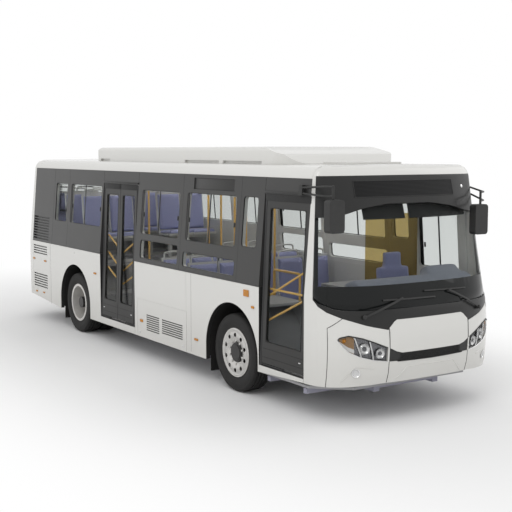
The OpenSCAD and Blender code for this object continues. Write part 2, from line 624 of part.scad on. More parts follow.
// Floor: low deck with cut-outs at the wheels, a step to the rear aisle, and podiums over the wheels
aisle_x = 215;
platform_z = floor_z + 230;
module floor() color([0.45, 0.46, 0.48]) {
    low_end = rear_door_y1 + 30;
    box_y = arch_r + liner_t + fit;
    strip_x = box_x - liner_t - fit;
    edge = floor_edge_x;
    nose_floor = nose_y + 350;
    bulkhead_y = tail_y - 800;
    front_box = [front_axle_y - box_y, front_axle_y + box_y];
    rear_box = [rear_axle_y - box_y, rear_axle_y + box_y];
    under_podium = podium_z - floor_t - fit;
    // Low deck before, between and behind the front wheel housings
    translate([0, 0, floor_z - floor_t]) linear_extrude(floor_t) {
        polygon([[-edge, front_box[0]], [-edge, front_door_y0], [-half + 430, nose_floor], [half - 430,
            nose_floor],
            [edge, front_door_y0], [edge, front_box[0]]]);
        rect(-strip_x, strip_x, front_box[0] + fit, front_box[1] - fit);
        rect(-edge, edge, front_box[1], low_end);
    }
    // Step, and the rear deck before, between and behind the rear wheel housings
    block(-edge, edge, low_end + fit, low_end + floor_t, floor_z - floor_t, rear_floor_z);
    translate([0, 0, rear_floor_z - floor_t]) linear_extrude(floor_t) {
        rect(-edge, edge, low_end + floor_t + fit, rear_box[0]);
        rect(-strip_x, strip_x, rear_box[0] + fit, rear_box[1] - fit);
        rect(-edge, edge, rear_box[1], bulkhead_y);
    }
    // Podiums over the wheels; the rear ones carry seats and reach to the aisle
    both_sides() {
        block(-edge, -box_x + liner_t, front_box[0], front_box[1], podium_z - floor_t, podium_z);
        block(-edge, -aisle_x, rear_box[0], rear_box[1], podium_z - floor_t, podium_z);
        block(-aisle_x - floor_t, -aisle_x, rear_box[0], rear_box[1], rear_floor_z + fit, under_podium);
        block(-strip_x, -aisle_x - floor_t - fit, rear_box[0], rear_box[0] + floor_t,
            rear_floor_z + fit, under_podium);
    }
    // Raised platform behind the rear wheels, up to the bulkhead of the battery room
    block(-edge, edge, rear_box[1] + fit, bulkhead_y, podium_z - floor_t, podium_z);
    block(-edge, edge, rear_box[1] + fit, rear_box[1] + floor_t, rear_floor_z + fit, under_podium);
    block(-half + 130, half - 130, bulkhead_y + fit, bulkhead_y + floor_t, rear_floor_z - floor_t, 1990);
    // Driver's platform
    block(260, edge - 30, front_door_y0 + 40, front_box[0] - 20, floor_z + fit, platform_z);
}

// Underframe: two long rails that step up over the rear axle, cross members and tow eyes
rail_x0 = 400;
rail_x1 = 480;
low_rail_z0 = 262;
high_rail_z0 = 610;
module underframe() color(lavender) {
    low_top = floor_z - floor_t - fit;
    high_top = rear_floor_z - floor_t - fit;
    step_y = rear_door_y1 + 30 + floor_t + fit;
    rail_front = nose_y + 420;
    rail_rear = tail_y - 240;
    both_sides() {
        block(rail_x0, rail_x1, rail_front, step_y + 90, low_rail_z0, low_top);
        block(rail_x0, rail_x1, step_y, step_y + 90, low_top + fit, high_rail_z0 - fit);
        block(rail_x0, rail_x1, step_y, rail_rear, high_rail_z0, high_top);
    }
    for (y = [-3860, -3150, -1650, -640, 320, 1300]) cross_member(y, low_rail_z0 + 12, low_top - 6);
    for (y = [1690, 3150, tail_y - 350]) cross_member(y, high_rail_z0 + 8, high_top - 6);
    tow_lug(rail_front, rail_front + 80, low_top - 40);
    tow_lug(rail_rear - 80, rail_rear, high_rail_z0);
    // Front spring brackets on the wheel housings
    both_sides() block(box_x + fit, 800, front_axle_y - 110, front_axle_y + 110, 720, 740);
}
// One member between the rails and one outside each
module cross_member(y, z0, z1) {
    w = 60;
    block(-rail_x0 + fit, rail_x0 - fit, y - w / 2, y + w / 2, z0, z1);
    both_sides() block(rail_x1 + fit, floor_edge_x, y - w / 2, y + w / 2, z0, z1);
}
tow_r = 20;
module tow_lug(y0, y1, z) difference() {
    block(-rail_x0 + fit, rail_x0 - fit, y0, y1, z, z + 40);
    translate([0, (y0 + y1) / 2, z - 1]) cylinder(r = tow_r, h = 42);
}
// Axles. The front beam drops under the floor, and its eyes hold the kingpins.
eye_z0 = 418;
eye_z1 = 542;
beam_half = 55;
spring_x = 690;
upright_x = 586;
module front_axle() color(black) translate([0, front_axle_y, 0]) difference() {
    union() {
        block(-620, 620, -beam_half, beam_half, 170, 245);
        both_sides() {
            block(upright_x, 645, -beam_half, beam_half, 170, 480);
            block(upright_x, kingpin_x, -beam_half, beam_half, 430, 480);
            translate([kingpin_x, 0, eye_z0]) cylinder(r = 58, h = eye_z1 - eye_z0);
            translate([spring_x, 0, 470]) cylinder(r = 100, h = 20);
        }
    }
    both_sides() translate([kingpin_x, 0, eye_z0 - 1]) cylinder(r = kingpin_r + fit, h = eye_z1 - eye_z0 + 2);
}
knuckle_end = 1120;
arm_y = 180;
rod_z = 225;
module knuckle() {
    lug = 28;
    gap = 1;
    translate([kingpin_x, front_axle_y, 0]) {
        translate([0, 0, eye_z0 - gap - lug]) cylinder(r = kingpin_r, h = eye_z1 - eye_z0 + 2 * (gap + lug));
        for (z = [eye_z0 - gap - lug, eye_z1 + gap]) {
            translate([0, 0, z]) cylinder(r = 50, h = lug);
            block(0, 96, -50, 50, z, z + lug);
        }
        block(66, 96, -60, 60, eye_z0 - gap - lug, eye_z1 + gap + lug);
        translate([90, 0, tyre_r]) rotate([0, 90, 0])
            cylinder(r = hub_bore_r - fit, h = knuckle_end - kingpin_x - 90);
        // Steering arm, reaching back and down to the track rod
        block(-20, 20, 20, arm_y, eye_z0 - gap - lug, eye_z0 - gap);
        translate([0, arm_y, rod_z + 19.5]) cylinder(r = 22, h = eye_z0 - gap - rod_z - 19.5);
    }
}
module right_knuckle() color(black) mirror([1, 0, 0]) knuckle();
module left_knuckle() color(black) knuckle();
module track_rod() color(steel) translate([0, front_axle_y + arm_y, rod_z]) {
    translate([-kingpin_x, 0, 0]) rotate([0, 90, 0]) cylinder(r = 17, h = 2 * kingpin_x);
    for (s = [-1, 1]) translate([s * kingpin_x, 0, -19]) cylinder(r = 24, h = 38);
}
// Driven axle with its traction motor
module rear_axle() color(black) translate([0, rear_axle_y, 0]) {
    end_x = 560;
    motor_l = 640;
    spindle = hub_bore_r - fit;
    // Half of the casing, from its end to the middle: radius, distance from the middle
    casing = [[0, knuckle_end], [spindle, knuckle_end], [spindle, end_x], [105, end_x], [105, 190],
        [150, 120],
        [178, 50]];
    translate([0, 0, tyre_r]) rotate([0, 90, 0]) rotate_extrude()
        polygon(concat(casing, [for (p = backwards(casing)) [p[0], -p[1]]]));
    translate([0, -motor_l - 130, 470]) rotate([-90, 0, 0]) cylinder(r = 138, h = motor_l);
    both_sides() {
        block(rail_x0, rail_x1, -470, 470, 360, 400);
        block(rail_x0 + 5, rail_x1 - 5, -60, 60, 390, tyre_r);
    }
}
module bellows(z0, z1, r) {
    n = 3;
    pitch = (z1 - z0) / n;
    translate([0, 0, z0]) rotate_extrude() polygon(concat([[0, 0]],
        [for (k = [0:n - 1]) each [[r - 16, k * pitch], [r, (k + 0.5) * pitch]]],
        [[r - 16, n * pitch], [0, n * pitch]]));
}
module air_springs() color(black) both_sides() {
    translate([spring_x, front_axle_y, 0]) bellows(490 + fit, 720 - fit, 100);
    for (y = [-370, 370]) translate([(rail_x0 + rail_x1) / 2, rear_axle_y + y, 0])
        bellows(400.5, high_rail_z0 - 0.5, 98);
}
module battery_box() color([0.35, 0.36, 0.38]) 
    block(-half + 230, half - 230, tail_y - 750, tail_y - 310, rear_floor_z - floor_t, 1330);

// Wheels, drawn in (radius, distance outwards from the tyre's middle)
tyre_side = [[rim_r + fit, 112], [rim_r + 26, 114], [rim_r + 100, tyre_w / 2], [tyre_r - 28, tyre_w / 2 - 8],
    [tyre_r, tyre_w / 2 - 40]];
rim_half = 122;
rim_t = 22;
flange = 8;
hub_r = 118;
module turned(x) translate([x, 0, tyre_r]) rotate([0, 90, 0]) rotate_extrude($fn = 64) children();
module tyre_section()
    polygon(concat(tyre_side, [for (k = [len(tyre_side) - 1:-1:0]) [tyre_side[k][0], -tyre_side[k][1]]]));
module rim_section() {
    in_r = rim_r - rim_t;
    out_r = rim_r + 16;
    polygon([[in_r, -rim_half], [out_r, -rim_half], [out_r, -rim_half + flange], [rim_r, -rim_half + flange],
        [rim_r, rim_half - flange], [out_r, rim_half - flange], [out_r, rim_half], [in_r, rim_half]]);
}
// A disc of even thickness under a line of radius and height
module disc_section(line, t)
    polygon(concat(line, [for (k = [len(line) - 1:-1:0]) line[k] - [0, t]]));
module front_wheel() {
    // Domed disc: radius, height of its outer face
    dome = [[hub_r - 5, 96], [150, 92], [205, 70], [rim_r - 12, 22]];
    cap_r = hub_r - 20;
    difference() {
        union() {
            turned(track_x) rim_section();
            turned(track_x) disc_section(dome, 14);
            turned(track_x) polygon([[hub_bore_r, -78], [hub_r, -78], [hub_r, 114], [cap_r, 114],
                [cap_r, 122],
                [0, 122], [0, 70], [hub_bore_r, 70]]);
        }
        for (k = [0:9]) translate([track_x, 0, tyre_r]) rotate([k * 36, 0, 0]) translate([0, 0, 212])
            rotate([0, 90, 0]) cylinder(r = 21, h = 120);
    }
}
module rear_wheel() {
    mid = -twin_pitch / 2;
    // Dished disc of the outer rim, from the hub to the barrel
    dish = [[hub_r - 5, 14], [200, 14], [rim_r - 12, 62]];
    cap_r = hub_r - 30;
    difference() {
        union() {
            for (x = [track_x, track_x - twin_pitch]) turned(x) rim_section();
            turned(track_x + mid) disc_section(dish, 12);
            turned(track_x + mid) mirror([0, 1]) disc_section(dish, 12);
            turned(track_x + mid) polygon([[hub_bore_r, -130], [hub_r, -130], [hub_r, 140], [cap_r, 140],
                [cap_r, 240], [0, 240], [0, 230], [hub_bore_r, 230]]);
        }
        for (k = [0:7]) translate([track_x + mid - 80, 0, tyre_r]) rotate([k * 45, 0, 0]) translate([0,
            0, 222])
            rotate([0, 90, 0]) cylinder(r = 24, h = 160);
    }
}
module front_tyre() turned(track_x) tyre_section();
module rear_tyre() turned(track_x) {
    tyre_section();
    translate([0, -twin_pitch]) tyre_section();
}
module at_front() translate([0, front_axle_y, 0]) children();
module at_back() translate([0, rear_axle_y, 0]) children();
module right_front_wheel() color(steel) at_front() mirror([1, 0, 0]) front_wheel();
module left_front_wheel() color(steel) at_front() front_wheel();
module right_front_tyre() color(black) at_front() mirror([1, 0, 0]) front_tyre();
module left_front_tyre() color(black) at_front() front_tyre();
module right_rear_wheel() color(steel) at_back() mirror([1, 0, 0]) rear_wheel();
module left_rear_wheel() color(steel) at_back() rear_wheel();
module right_rear_tyre() color(black) at_back() mirror([1, 0, 0]) rear_tyre();
module left_rear_tyre() color(black) at_back() rear_tyre();

// Mirrors: a housing hung from two arms, whose foot is a plate on the band over the door
mirror_w = 200;
mirror_h = 350;
mirror_d = 100;
mirror_foot_y = front_door_y0 + 145;
// Middle of each housing
mirror_places = [[-half + 108, nose_y + 300, 2245], [half - 258, nose_y + 325, 2138]];
module mirrors() color(black) for (c = mirror_places) {
    s = sign(c[0]);
    stem = [c[0] + s * 20, c[1], c[2]];
    head_z = c[2] + mirror_h / 2;
    translate(c) rotate([90, 0, 0]) translate([0, 0, -mirror_d / 2]) linear_extrude(mirror_d)
        round_rect(-mirror_w / 2, mirror_w / 2, -mirror_h / 2, mirror_h / 2, 40);
    tube([stem[0], c[1], head_z - 10], [stem[0], c[1], head_z + 150], 14);
    // Arms: height at the foot, height of the stem's end above the housing
    for (arm = [[2532, 135], [2472, 35]])
        run([[s * (half - 63), mirror_foot_y, arm[0]], [s * (half - 68), c[1] + 120, head_z + arm[1]],
            [stem[0], c[1], head_z + arm[1]]], 11);
    mirror([s > 0 ? 1 : 0, 0, 0]) on_band(44, -44 - fit)
        rect(mirror_foot_y - 32, mirror_foot_y + 32, up_band(2448), up_band(2558));
}
// A bent rod through a list of points
module run(points, r) {
    for (k = [0:len(points) - 2]) tube(points[k], points[k + 1], r);
    for (k = [1:len(points) - 1]) translate(points[k]) sphere(r = r + 0.5);
}

// Driver's place
module dashboard() color([0.35, 0.38, 0.45]) {
    translate([-half + 490, -40, 0]) rotate([90, 0, 90]) linear_extrude(2 * half - 780)
        polygon([for (p = [[370, 900], [370, 1470], [510, 1530], [660, 1480], [670, 1330], [590, 1250],
            [560, 900]])
            [nose_y + p[0], p[1]]]);
    // Instrument hood and pedal wall
    translate([380, -40, 0]) rotate([90, 0, 90]) linear_extrude(480)
        polygon([for (p = [[470, 1500], [590, 1620], [700, 1570], [720, 1330], [640,
            1320]]) [nose_y + p[0], p[1]]]);
    block(-half + 550, half - 350, nose_y + 360, nose_y + 500, floor_z + fit, 905);
}
driver_x = half - 630;
wheel_c = [driver_x, nose_y + 910, 1290];
module steering_wheel() color(black) {
    ring_r = 225;
    translate(wheel_c) rotate([-28, 0, 0]) {
        rotate_extrude() translate([ring_r, 0]) circle(15);
        cylinder(r = 60, h = 30, center = true);
        for (a = [30, 150, 270]) rotate([0, 0, a]) translate([40, -16, -9]) cube([ring_r - 40, 32, 18]);
        rotate([180, 0, 0]) cylinder(r = 34, h = 300);
    }
    block(driver_x - 60, driver_x + 60, nose_y + 735, nose_y + 805, platform_z + fit, 1060);
}
module driver_seat() color(blue) translate([driver_x, nose_y + 960, platform_z + fit]) {
    block(-150, 150, 60, 380, 0, 240);
    translate([-240, 0, 0]) along_x(480)
        polygon([[0, 230], [0, 340], [345, 325], [400, 900], [500, 900], [440, 230]]);
    translate([-130, 0, 0]) along_x(260) polygon([[410, 890], [420, 1080], [500, 1080], [490, 890]]);
}
module driver_partition() color([0.3, 0.27, 0.22, 0.6]) {
    y = front_axle_y - arch_r - 100;
    block(280, half - 135, y, y + 24, platform_z + fit, 2150);
}

// Passenger seats: a bent shell on a pedestal. Rows: x of the pair's middle, y of the front edge, floor height
seat_pair_x = half - 550;
rear_pair_x = half - 585;
seat_rows = concat([for (y = [-1650, -900], s = [-1, 1]) [s * seat_pair_x, y, floor_z]],
    [[seat_pair_x, -150, floor_z]],
    [for (y = [1900, 2600, 3260], s = [-1, 1]) [s * rear_pair_x, y, podium_z]]);
seat_gap = 10;
seat_side = [[0, 396], [0, 430], [395, 412], [480, 1090], [512, 1086], [425, 380]];
module at_seats() for (row = seat_rows) translate([row[0], row[1], row[2]]) children();
module seat_pair() for (s = [-1, 1]) translate([s * (seat_w + seat_gap) / 2 - seat_w / 2, 0, 0]) children();
module along_x(w) rotate([90, 0, 90]) linear_extrude(w) children();
module seat_shells() color(steel) at_seats() {
    seat_pair() along_x(seat_w) polygon(seat_side);
    // Pedestal frame under both seats
    difference() {
        translate([-seat_w + 60, 130, 0]) cube([2 * seat_w - 120, 50, 390]);
        translate([-seat_w + 110, 120, 40]) cube([2 * seat_w - 220, 70, 300]);
    }
}
module seat_pads() color(blue) at_seats() seat_pair() translate([15, 0, 0]) along_x(seat_w - 30) {
    polygon([[8, 430 + fit], [8, 470], [350, 456], [375, 440], [375, 413.3 + fit]]);
    polygon([[400 - 2 * fit + 1.5, 462], [360, 480], [430, 1060], [474 - fit, 1060]]);
}

// Hand rails: posts from floor to ceiling and two long rails. Posts: x, y, floor height
rail_x = 330;
rail_z = 2330;
rail_y0 = -2400;
rail_y1 = 3000;
rail_posts = [[-rail_x, -1020, floor_z], [rail_x, -1020, floor_z], [-rail_x, -310, floor_z], [rail_x,
    -270, floor_z],
    [rail_x, 440, floor_z], [-rail_x, 1560, rear_floor_z], [rail_x, 1560, rear_floor_z]];
module handrails() color(yellow) {
    top = roof_edge_z - skin_t + crown_rise * (1 - rail_x / cove_x) - 1;
    for (p = rail_posts) translate([p[0], p[1], p[2] + fit]) cylinder(r = rail_r, h = top - p[2] - fit);
    // Long rails run from post to post
    for (s = [-1, 1]) {
        ys = concat([rail_y0], [for (p = rail_posts) if (p[0] == s * rail_x) p[1]], [rail_y1]);
        for (k = [0:len(ys) - 2]) translate([s * rail_x, ys[k + 1] - rail_r - fit, rail_z]) rotate([90, 0, 0])
            cylinder(r = rail_r - 2, h = ys[k + 1] - ys[k] - 2 * (rail_r + fit));
    }
}

// Wipers at rest on the foot of the windscreen: pivot, arm's end, and both ends of the blade, as x, z
wiper_table = [for (w = [[[-853, 1173], [-355, 1335], [-598, 1331], [120, 1322]],
    [[789, 1150], [335, 1377], [640, 1380], [-20, 1396]]]) widen(w)];
function above(x, z, h) = end_point(front_end, x, z) + end_normal(front_end, x, z) * h;
// A bar that follows the nose from a to b (each x, z), between two heights over it, w wide
module strip(a, b, steps, h0, h1, w) {
    from = a[0] < b[0] ? a : b;
    to = a[0] < b[0] ? b : a;
    section = [[-w / 2, h0], [w / 2, h0], [w / 2, h1], [-w / 2, h1]];
    points = [for (k = [0:steps], c = section)
        let (p = from + (to - from) * k / steps) above(p[0], p[1] + c[0], c[1])];
    last = 4 * steps;
    sides = [for (k = [0:steps - 1], j = [0:3])
        let (i = (j + 1) % 4) [4 * k + i, 4 * k + j, 4 * k + 4 + j, 4 * k + 4 + i]];
    polyhedron(points, concat([[0, 1, 2], [0, 2, 3], [last + 3, last + 2, last + 1], [last + 3,
        last + 1, last]],
        [for (q = sides) [q[0], q[1], q[2]]], [for (q = sides) [q[0], q[2], q[3]]]));
}
module wipers() color(black) for (w = wiper_table) {
    arm_h = 34;
    blade_h = 14;
    on_end(front_end, w[0][0], w[0][1]) translate([0, 0, 0.6]) cylinder(r = 20, h = 36);
    strip(w[0], w[1], 4, arm_h - 8, arm_h, 22);
    strip(w[2], w[3], 6, blade_h - 9, blade_h, 16);
    strip(w[1] - [9, 0], w[1] + [9, 0], 1, blade_h - 4, arm_h - 4, 14);
}
// Amber side markers: y, z, width, height
marker_table = [[tail_y - 385, 1046, 90, 30], [3690, 1040, 90, 30], [tail_y - 490, 474, 70, 26], [3770,
    484, 70, 26],
    [1600, 1042, 90, 30], [-2754, 1260, 110, 80], [-2897, 1109, 60, 30], [-1560, 512, 90, 30]];
module marker_lamps() color(amber) both_sides() for (m = marker_table) on_wall(12 - fit, -12)
    rect(m[0] - m[2] / 2, m[0] + m[2] / 2, m[1] - m[3] / 2, m[1] + m[3] / 2);

underframe();
floor();
wheel_arches();
right_skirt();
left_skirt();
right_band();
left_band();
window_glass();
roof();
roof_fairing();
front_cap();
front_header();
windscreen();
front_mask();
front_corners();
front_bumper();
grille();
headlamps();
rear_panel();
rear_bumper();
tail_lamps();
mirrors();
wipers();
marker_lamps();
dashboard();
steering_wheel();
driver_seat();
driver_partition();
seat_shells();
seat_pads();
handrails();
front_axle();
rear_axle();
air_springs();
battery_box();
front_flap();
rear_hatch();
right_flap();
left_flap();
front_post();
front_leaf();
front_leaf_glass();
rear_post_a();
rear_leaf_a();
rear_leaf_a_glass();
rear_post_b();
rear_leaf_b();
rear_leaf_b_glass();
right_knuckle();
left_knuckle();
track_rod();
right_front_wheel();
right_front_tyre();
left_front_wheel();
left_front_tyre();
right_rear_wheel();
right_rear_tyre();
left_rear_wheel();
left_rear_tyre();
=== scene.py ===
# Low-floor electric city bus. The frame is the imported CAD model; this script dresses it piece by piece.
import json
from math import atan, cos, pi, radians, sin, sqrt, tan

import bpy
from mathutils import Matrix, Vector

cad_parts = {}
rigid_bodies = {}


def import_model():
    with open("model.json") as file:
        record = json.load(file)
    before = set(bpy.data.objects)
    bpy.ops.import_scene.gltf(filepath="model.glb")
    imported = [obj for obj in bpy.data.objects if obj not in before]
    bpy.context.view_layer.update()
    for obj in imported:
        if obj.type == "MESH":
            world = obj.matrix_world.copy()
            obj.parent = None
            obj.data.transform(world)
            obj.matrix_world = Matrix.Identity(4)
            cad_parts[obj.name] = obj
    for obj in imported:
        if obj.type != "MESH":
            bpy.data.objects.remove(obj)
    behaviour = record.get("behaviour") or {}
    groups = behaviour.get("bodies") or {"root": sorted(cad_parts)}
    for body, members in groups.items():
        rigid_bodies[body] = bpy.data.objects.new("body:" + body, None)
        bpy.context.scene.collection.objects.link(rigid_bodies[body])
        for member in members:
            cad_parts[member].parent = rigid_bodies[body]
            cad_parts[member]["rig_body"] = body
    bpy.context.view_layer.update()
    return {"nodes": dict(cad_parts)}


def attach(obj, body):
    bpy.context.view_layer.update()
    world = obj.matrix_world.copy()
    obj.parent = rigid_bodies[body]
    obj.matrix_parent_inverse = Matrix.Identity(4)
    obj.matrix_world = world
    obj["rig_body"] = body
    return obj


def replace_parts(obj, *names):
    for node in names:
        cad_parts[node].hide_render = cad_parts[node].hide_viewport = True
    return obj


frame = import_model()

# Painted skin of the body
# The skirts, roof, fairing, front and rear mouldings are fibreglass and aluminium panels in warm white gloss
# paint. Each is screwed or bonded to the frame with eased edges, so a shadow line runs along every joint.


def operator(operation):
    """An operator of a wire with a wire or a number."""
    return lambda wire, other: wire.math(operation, wire, other)


class Wire:
    """One output among a finish's nodes. Sums and products of wires add Math nodes."""

    def __init__(self, finish, socket):
        self.finish = finish
        self.socket = socket

    def math(self, operation, *values):
        return self.finish.node("Math", dict(enumerate(values)), operation=operation)

    def __rsub__(self, other):
        return self.math("SUBTRACT", other, self)

    def __abs__(self):
        return self.math("ABSOLUTE", self)

    __add__ = __radd__ = operator("ADD")
    __sub__ = operator("SUBTRACT")
    __mul__ = __rmul__ = operator("MULTIPLY")
    __lt__ = operator("LESS_THAN")
    __gt__ = operator("GREATER_THAN")


class Finish:
    """A material: plain numbers go straight on the shader, wires where the surface changes."""

    def __init__(self, name, gleam, sockets=()):
        self.material = bpy.data.materials.new(name)
        self.material.use_nodes = True
        self.tree = self.material.node_tree
        self.shader = self.tree.nodes["Principled BSDF"]
        self.surface = Wire(self, self.shader.outputs[0])
        self.look({"Specular IOR Level": gleam, **dict(sockets)})
        # Object coordinates, whole and as three wires
        self.place = self.node("TexCoord", {}, "Object")
        split = self.node("SeparateXYZ", {0: self.place})
        self.axes = [Wire(self, socket) for socket in split.socket.node.outputs]

    def feed(self, socket, value):
        """Gives an input a wire, a number or a colour: three numbers, or one for a grey."""
        if isinstance(value, Wire):
            self.tree.links.new(value.socket, socket)
        elif socket.type == "RGBA":
            red_green_blue = value if isinstance(value, tuple) else (value,) * 3
            socket.default_value = (*red_green_blue, 1)
        else:
            socket.default_value = value

    def show(self, colour, roughness):
        self.look({"Base Color": colour, "Roughness": roughness})

    def look(self, sockets):
        for key, value in sockets.items():
            self.feed(self.shader.inputs[key], value)

    def node(self, kind, sockets, out=0, **settings):
        made = self.tree.nodes.new("ShaderNode" + kind)
        for key, value in settings.items():
            setattr(made, key, value)
        for key, value in sockets.items():
            self.feed(made.inputs[key], value)
        return Wire(self, made.outputs[out])

    def noise(self, scale, detail=3.0):
        return self.node("TexNoise", {"Vector": self.place, "Scale": scale, "Detail": detail})

    def ribs(self, pitch):
        """Ribs one above the other, from 0 to 1."""
        z = self.axes[2]
        return z.math("SINE", z * (2 * pi / pitch)) * 0.5 + 0.5

    def tint(self, share, low, high):
        return self.node("Mix", {0: share, 6: low, 7: high}, 2, data_type="RGBA")

    def grain(self, height, strength, distance=0.001):
        sockets = {"Height": height, "Strength": strength, "Distance": distance}
        self.look({"Normal": self.node("Bump", sockets)})

    def mixed(self, share, first, second):
        """Sends a mix of two shaders to the output."""
        mix = self.node("MixShader", {0: share, 1: first, 2: second})
        self.feed(self.tree.nodes["Material Output"].inputs[0], mix)


def gloss_paint(name, colour, dust, roughness=0.3, coat=0.5, gleam=0.5, back=None):
    """Sprayed gloss paint with faint orange peel and road dust below. back gives what isn't sprayed."""
    paint = Finish(name, gleam, {"Coat Roughness": 0.08})
    clouds = paint.noise(1.3, 5.0)
    fall = {0: paint.axes[2], 1: 0.3, 2: 1.0, 3: 0.55, 4: 0.0}
    low = paint.node("MapRange", fall, clamp=True)
    skin = paint.tint(low * clouds, colour, dust)
    bare = low
    if back:
        # On the skirts back gives painted shade and lining where they aren't sprayed
        bare, shade_and_lining = back(paint)
        skin = paint.tint(bare, skin, shade_and_lining)
    paint.look({
        "Base Color": skin,
        "Roughness": clouds * 0.12 + low * 0.25 + roughness - 0.06,
        "Coat Weight": (1 - bare) * coat,
    })
    paint.grain(paint.noise(240.0, 1.0), 0.04)
    return paint.material


warm_white = (0.645, 0.64, 0.615)
road_dust = (0.48, 0.465, 0.43)
body_paint = gloss_paint("warm white paint", warm_white, road_dust)


def only(piece):
    """Selects one object and nothing else."""
    bpy.ops.object.select_all(action="DESELECT")
    piece.select_set(True)
    bpy.context.view_layer.objects.active = piece


def smooth(piece, degrees=32):
    only(piece)
    bpy.ops.object.shade_smooth_by_angle(angle=radians(degrees))


def harden(piece, kind, **settings):
    """Adds a modifier and applies it."""
    only(piece)
    modifier = piece.modifiers.new(kind, kind)
    for key, value in settings.items():
        setattr(modifier, key, value)
    bpy.ops.object.modifier_apply(modifier=modifier.name)


def placed(name, data):
    """A new object in the scene."""
    piece = bpy.data.objects.new(name, data)
    bpy.context.scene.collection.objects.link(piece)
    return piece


def edit(piece, *steps):
    """Runs mesh tools one after another, each on the whole piece."""
    only(piece)
    bpy.ops.object.mode_set(mode="EDIT")
    for tool, settings in steps:
        bpy.ops.mesh.select_all(action="SELECT")
        tool(**settings)
    bpy.ops.object.mode_set(mode="OBJECT")


weld = 0.00002


def eased(slot, material, *nodes, edge=0.003, degrees=32):
    """Visible panels of CAD nodes: solids with merged corners and eased edges. Returns the last."""
    for node in nodes:
        solid = frame["nodes"][node]
        piece = placed(node + "_panel", solid.data.copy())
        piece.data.materials.clear()
        piece.data.materials.append(material)
        edit(piece, (bpy.ops.mesh.remove_doubles, {"threshold": weld}),
             (bpy.ops.mesh.dissolve_limited, {"angle_limit": radians(0.6)}))
        if edge:
            harden(piece, "BEVEL", width=edge, segments=2, limit_method="ANGLE", angle_limit=radians(50))
        smooth(piece, degrees)
        if edge:
            harden(piece, "WEIGHTED_NORMAL", keep_sharp=True)
        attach(piece, solid["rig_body"])
        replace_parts(piece, node)
    return piece


eased("body_white", body_paint, "roof", "roof_fairing", "front_cap", "front_corners", "front_bumper",
      "front_flap", "rear_panel", "rear_bumper", "rear_hatch")
# Skirts and their flaps are painted outside only: slots and edges carry painted shade, the cabin side is
# lined
arch_z = 0.5
arch_clear = 0.66
axle_middle = 0.005
axle_reach = 2.405
paint_x = 1.246
lining_x = 1.222
# Doorways of the kerb side: middle, half length
doorways = ((-3.4625, 0.4725), (0.82, 0.615))


def from_arch(y, up):
    """Distance from the middle of the nearer wheel arch, as a wire."""
    off = abs(y - axle_middle) - axle_reach
    return y.math("SQRT", off * off + up * up)


def at_doorway(x, y):
    """One beside the doorways of the kerb side, whose jambs are dark."""
    front, rear = [abs(y - middle) < reach for middle, reach in doorways]
    return (front + rear) * (x < 0.0)


def skirt_back(paint):
    """Where a skirt isn't sprayed, and its colour: lining on the cabin side, painted shade in slots and on
    edges.
    """
    x, y, z = paint.axes
    inside = (abs(x) < lining_x) * (from_arch(y, z - arch_z) > arch_clear) * (1 - at_doorway(x, y))
    # 0.02 is painted shade in slots, on edges, round the arches and at the doorway jambs
    return abs(x) < paint_x, paint.tint(inside, 0.02, (0.52, 0.52, 0.51))


skirt_paint = gloss_paint("white skirt paint with painted shade", warm_white, road_dust, coat=0.4, back=skirt_back)
eased("body_white", skirt_paint, "right_skirt", "left_skirt", "right_flap", "left_flap")

# Dark window band
# From the waist up the sides carry dark grey gloss panels, in which the panes sit flush. They lean in, and
# their inner half is the pale lining of the cabin.
half = 1.25
waist = 1.36
lean = tan(radians(4.75))
band_skin = 0.018
vent_y = 3.6
band_paint = gloss_paint("dark grey band paint", (0.028, 0.0277, 0.027), (0.05, 0.048, 0.045), 0.4, 0.06,
                         0.28)
lining = Finish("band paint and cabin lining", 0.3, {"Coat Weight": 0.1})
x, y, z = lining.axes
clouds = lining.noise(1.6, 5.0)
outer = lining.tint(clouds, (0.03, 0.0297, 0.029), (0.04, 0.0396, 0.0388))
inner = lining.tint(clouds, (0.55, 0.55, 0.54), (0.6, 0.6, 0.59))
depth = half - (z - waist) * lean - abs(x)
# Past vent_y the slots of the rear vents keep the dark band colour right through, as painted shade
pale = (depth > band_skin) * (y < vent_y) * (1 - at_doorway(x, y))
lining.show(lining.tint(pale, outer, inner), clouds * 0.15 + 0.28)
lining.grain(lining.noise(240.0, 1.0), 0.04)
eased("band_grey", lining.material, "right_band", "left_band", edge=0.002)
eased("band_grey", band_paint, "front_leaf", "rear_leaf_a", "rear_leaf_b", edge=0.002)

# Mask and header of the front
# Charcoal mouldings over and under the windscreen, in a softer gloss than the band.
mask_paint = gloss_paint("charcoal mask paint", (0.011, 0.011, 0.0107), (0.022, 0.0215, 0.02), 0.36, 0.15,
                         0.3)
eased("mask_grey", mask_paint, "front_mask", "front_header")

# Glass
# Toughened panes and a laminated windscreen, bonded in. The windscreen's foot and sides have a black ceramic
# border.


def clear_glass(name, colour, opacity, border=None):
    """Clear glass, brighter at a glancing view. border gives its black part."""
    glass = Finish(name, 0.22, {"Base Color": (0.008, 0.009, 0.009)})
    glass.look({"Roughness": glass.noise(6.0, 4.0) * 0.05 + 0.02})
    clear = glass.node("BsdfTransparent", {0: colour})
    facing = glass.node("LayerWeight", {0: 0.5}, "Facing")
    share = facing.math("POWER", facing, 5.0) * 0.9 + opacity + 0.02
    if border:
        share = share.math("MAXIMUM", share, border(glass))
    glass.mixed(share, clear, glass.surface)
    return glass.material


side_glass = clear_glass("tinted side glass", (0.9, 0.91, 0.905), 0.03)
eased("glass", side_glass, "window_glass", "front_leaf_glass", "rear_leaf_a_glass", "rear_leaf_b_glass",
      edge=0.0)
border_top = 1.49
# The screen narrows upwards with the body, and so does its border
border_x = 1.32
border_lean = 0.0802


def screen_border(glass):
    x, _, z = glass.axes
    return x.math("MAXIMUM", z < border_top, abs(x) + z * border_lean > border_x)


screen_glass = clear_glass("windscreen glass", (0.95, 0.96, 0.955), 0.02, screen_border)
eased("glass", screen_glass, "windscreen", edge=0.0, degrees=60)

